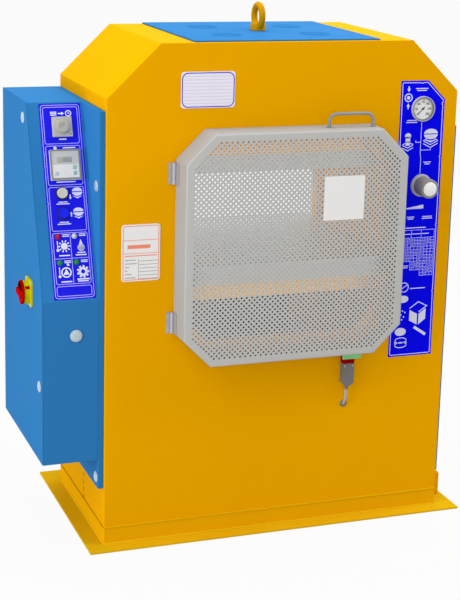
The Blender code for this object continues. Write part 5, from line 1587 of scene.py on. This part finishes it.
REGULATOR_FLANGE = (
    (0, 20.3), (16, 20.3), (16, 9.3), (18.5, 8.3), (25.4, 8.3), (27.6, 7.3), (28.4, 5.3), (28.4, 0.3),
    (12, 0.3), (12, -40), (0, -40),
)
REGULATOR_KNOB = (
    (0, 51.8), (18.2, 51.8), (18.4, 52.6), (22.2, 52.6), (23.7, 51.4), (24.2, 48.1), (24.2, 9.6), (23.2, 8.6),
    (16.6, 8.6), (16.6, 20.6), (5, 20.6), (5, 0.3), (0, 0.3),
)
REGULATOR_STEPS = 160
REGULATOR_FLUTES = (40, 0.0005, (5, 6))
REGULATOR_INLAY = ((0, 1.1), (17, 1.1), (17.8, 0.6), (17.8, 0), (0, 0))
REGULATOR_TOP = 0.0518


def make_regulator():
    """The regulator's flange, and its fluted knob with a white inlay."""
    place = front_place("regulator_base")
    show_turned(
        "regulator_flange", REGULATOR_FLANGE, place, "flange_grey", replaces=["regulator_base"],
        slot="dark_plastic", steps=FINE_STEPS,
    )
    show_turned(
        "regulator_grip", REGULATOR_KNOB, place, "knob_grey", "regulator", ["regulator_knob"], "dark_plastic",
        steps=REGULATOR_STEPS, flutes=REGULATOR_FLUTES,
    )
    top = at(place, 0, 0, REGULATOR_TOP + PRINT)
    show_turned("regulator_inlay", REGULATOR_INLAY, top, "white_inlay", "regulator", slot="white_plate")


# Interlock and its lead

LEAD_RADIUS = 0.0035
LEAD_DROP = 0.0304
LEAD_BEND = 0.028
LEAD_DRIFT = 0.0024
LEAD_INSIDE = 0.020
LEAD_STEPS = 20
LEAD_GLAND = ((3.8, 0), (5.6, 0), (5.6, -3.5), (5, -4.2), (4.3, -10.5), (3.8, -10.5))
LEAD_GROMMET = ((6.3, 2.2), (8, 2.2), (9.5, 1), (9.5, 0.3), (6.3, 0.3))
INTERLOCK_SCREW_ACROSS = 0.011
INTERLOCK_SCREW_DROP = 0.006
INTERLOCK_SCREW_RADIUS = 0.0020
INTERLOCK_SCREW_HEIGHT = 0.0006


def lead_route(start):
    """The lead's way down from the switch and back through the front plate."""
    reach = FRONT_Y - start.y
    turn = math.acos(1 - reach / LEAD_BEND)
    points = [(0, 0)]
    for step in range(LEAD_STEPS + 1):
        angle = turn * step / LEAD_STEPS
        points.append((LEAD_BEND * (1 - math.cos(angle)), LEAD_DROP + LEAD_BEND * math.sin(angle)))
    back, fall = points[-1]
    points.append((back + LEAD_INSIDE * math.sin(turn), fall + LEAD_INSIDE * math.cos(turn)))
    return [start + Vector((-LEAD_DRIFT * down / fall, behind, -down)) for behind, down in points]


def make_interlock():
    """The switch's screws, its lead and the ring where the lead goes in."""
    low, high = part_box("interlock_body")
    middle = (low + high) / 2
    face = seat((middle.x, low.y, high.z), (1, 0, 0), (0, 0, 1))
    sides = (-INTERLOCK_SCREW_ACROSS, INTERLOCK_SCREW_ACROSS)
    places = [at(face, across, -INTERLOCK_SCREW_DROP) for across in sides]
    place_screws("interlock_screws", places, INTERLOCK_SCREW_RADIUS, INTERLOCK_SCREW_HEIGHT)
    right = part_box("interlock_lead")[1].x
    start = Vector((right - LEAD_RADIUS, middle.y, low.z - CLEAR))
    route = lead_route(start)
    lead = tube("interlock_cable", route, LEAD_RADIUS)
    cable = show(
        "interlock_cable", lead, WORLD, "lead_grey", replaces=["interlock_lead"]
    )
    ring = {"steps": SMALL_STEPS, "ring": True}
    gland_place = Matrix.Translation(start)
    show_turned("interlock_gland", LEAD_GLAND, gland_place, "interlock_grey", slot="grey_paint", **ring)
    mouth = route[-2]
    mouth_place = at(FRONT, mouth.x, mouth.z)
    show_turned("lead_grommet", LEAD_GROMMET, mouth_place, "interlock_grey", slot="dark_plastic", **ring)


# Studio

WORLD_LIGHT = 0.38
Lamp = namedtuple("Lamp", "place target wide high power spread")

# Place, what it points at, width, height, watts and spread in degrees. The last two stand behind the guard
# and in the rear of the window, and light the press behind the mesh.
LAMPS = {
    "key": Lamp((-3.22, -2.34, 4.03), (0, 0, 0.7), 2.6, 2.6, 52, 180),
    "left": Lamp((-4.2, -1.2, 0.9), (0, 0, 0.6), 2.6, 2.6, 106, 180),
    "top": Lamp((0, 0.6, 4.2), (0, 0, 0.6), 2.8, 2.8, 96, 180),
    "right": Lamp((3.2, -0.9, 3.6), (0, 0, 0.7), 2.6, 2.6, 97, 180),
    "front": Lamp((-1.0, -4.6, 1.6), (0, 0, 0.6), 2.6, 2.6, 25, 180),
    "behind_guard": Lamp((0, -0.296, 0.745), (0, 0, 0.745), 0.46, 0.46, 0.7, 90),
    "rear_window": Lamp((0, 0.225, 0.79), (0, 0, 0.72), 0.46, 0.12, 0.4, 180),
}

FLOOR_SIZE = 40
FLOOR_COLOUR = (0.5, 0.5, 0.5, 1)
FLOOR_WHITE_SHARE = 0.95
FLOOR_ROUGHNESS = 0.9


def area_light(name, lamp):
    light = bpy.data.lights.new(name, "AREA")
    light.shape = "RECTANGLE"
    light.size = lamp.wide
    light.size_y = lamp.high
    light.energy = lamp.power
    light.spread = math.radians(lamp.spread)
    piece = helper(name, light)
    piece.location = lamp.place
    piece.rotation_euler = (Vector(lamp.target) - Vector(lamp.place)).to_track_quat("-Z", "Y").to_euler()
    piece.visible_camera = False
    piece.visible_glossy = False


def math_node(tree, operation, first, second):
    """A node that works on a socket and on another socket or a number."""
    node = tree.nodes.new("ShaderNodeMath")
    node.operation = operation
    tree.links.new(first, node.inputs[0])
    if isinstance(second, bpy.types.NodeSocket):
        tree.links.new(second, node.inputs[1])
    else:
        node.inputs[1].default_value = second
    return node.outputs[0]


def white_when_seen(tree, plain, white, share):
    """Mixes a plain shader with white light for rays from the camera, and for gloss and glass."""
    path = add_node(tree, "LightPath").outputs
    seen = math_node(tree, "MAXIMUM", path["Is Camera Ray"], path["Is Glossy Ray"])
    seen = math_node(tree, "MAXIMUM", seen, path["Is Transmission Ray"])
    seen = math_node(tree, "MULTIPLY", seen, share)
    mix = add_node(tree, "MixShader")
    for output, socket in zip((seen, plain, white), mix.inputs):
        tree.links.new(output, socket)
    return mix.outputs[0]


def make_world():
    world = bpy.data.worlds.new("studio")
    bpy.context.scene.world = world
    world.use_nodes = True
    tree = world.node_tree
    soft = set_inputs(tree.nodes["Background"], Color=WHITE, Strength=WORLD_LIGHT)
    bright = add_node(tree, "Background", Color=WHITE)
    mixed = white_when_seen(tree, soft.outputs[0], bright.outputs[0], 1)
    tree.links.new(mixed, tree.nodes["World Output"].inputs["Surface"])


def make_floor():
    form = bmesh.new()
    bmesh.ops.create_grid(form, x_segments=1, y_segments=1, size=FLOOR_SIZE)
    mesh = mesh_of(form, "floor")
    floor = helper("floor", mesh)
    floor.location = (0, 0, -CLEAR)
    material, tree, shader = new_material("floor")
    set_inputs(shader, Base_Color=FLOOR_COLOUR, Roughness=FLOOR_ROUGHNESS, Specular_IOR_Level=0)
    glow = add_node(tree, "Emission")
    mixed = white_when_seen(tree, shader.outputs[0], glow.outputs[0], FLOOR_WHITE_SHARE)
    tree.links.new(mixed, tree.nodes["Material Output"].inputs["Surface"])
    mesh.materials.append(material)


def make_studio():
    bpy.context.scene.view_settings.view_transform = "Standard"
    make_world()
    make_floor()
    for name, lamp in LAMPS.items():
        area_light(name, lamp)


def make_camera():
    ahead = math.cos(CAMERA_DIP)
    forward = Vector((math.sin(CAMERA_YAW) * ahead, math.cos(CAMERA_YAW) * ahead, -math.sin(CAMERA_DIP)))
    level = Vector((math.cos(CAMERA_YAW), -math.sin(CAMERA_YAW), 0))
    down = forward.cross(level)
    right = level * math.cos(CAMERA_ROLL) + down * math.sin(CAMERA_ROLL)
    low = down * math.cos(CAMERA_ROLL) - level * math.sin(CAMERA_ROLL)
    data = bpy.data.cameras.new("camera")
    data.sensor_width = SENSOR_MM
    long_side = max(FRAME_WIDTH, FRAME_HEIGHT)
    data.lens = FOCAL_PIXELS / long_side * SENSOR_MM
    data.shift_x = (FRAME_WIDTH / 2 - CENTRE_ACROSS_PIXELS) / long_side
    data.shift_y = (CENTRE_DOWN_PIXELS - FRAME_HEIGHT / 2) / long_side
    camera = helper("camera", data)
    turn = Matrix((right, -low, -forward)).transposed()
    camera.matrix_world = Matrix.Translation(CAMERA_PLACE) @ turn.to_4x4()
    bpy.context.scene.camera = camera


def main():
    make_camera()
    make_studio()
    for name, look in LOOKS.items():
        MATERIALS[name] = make_material(name, look)
    make_interlock()
    finish_nodes()
    make_guard()
    make_grip()
    make_hinge_screws()
    make_bolts()
    make_cap()
    make_plugs()
    make_eyebolt()
    make_welds()
    make_press()
    make_control_label()
    make_operation_label()
    make_plate_prints()
    make_timer()
    make_controller()
    make_buttons()
    make_lamps()
    make_switch()
    make_gauge()
    make_regulator()


main()
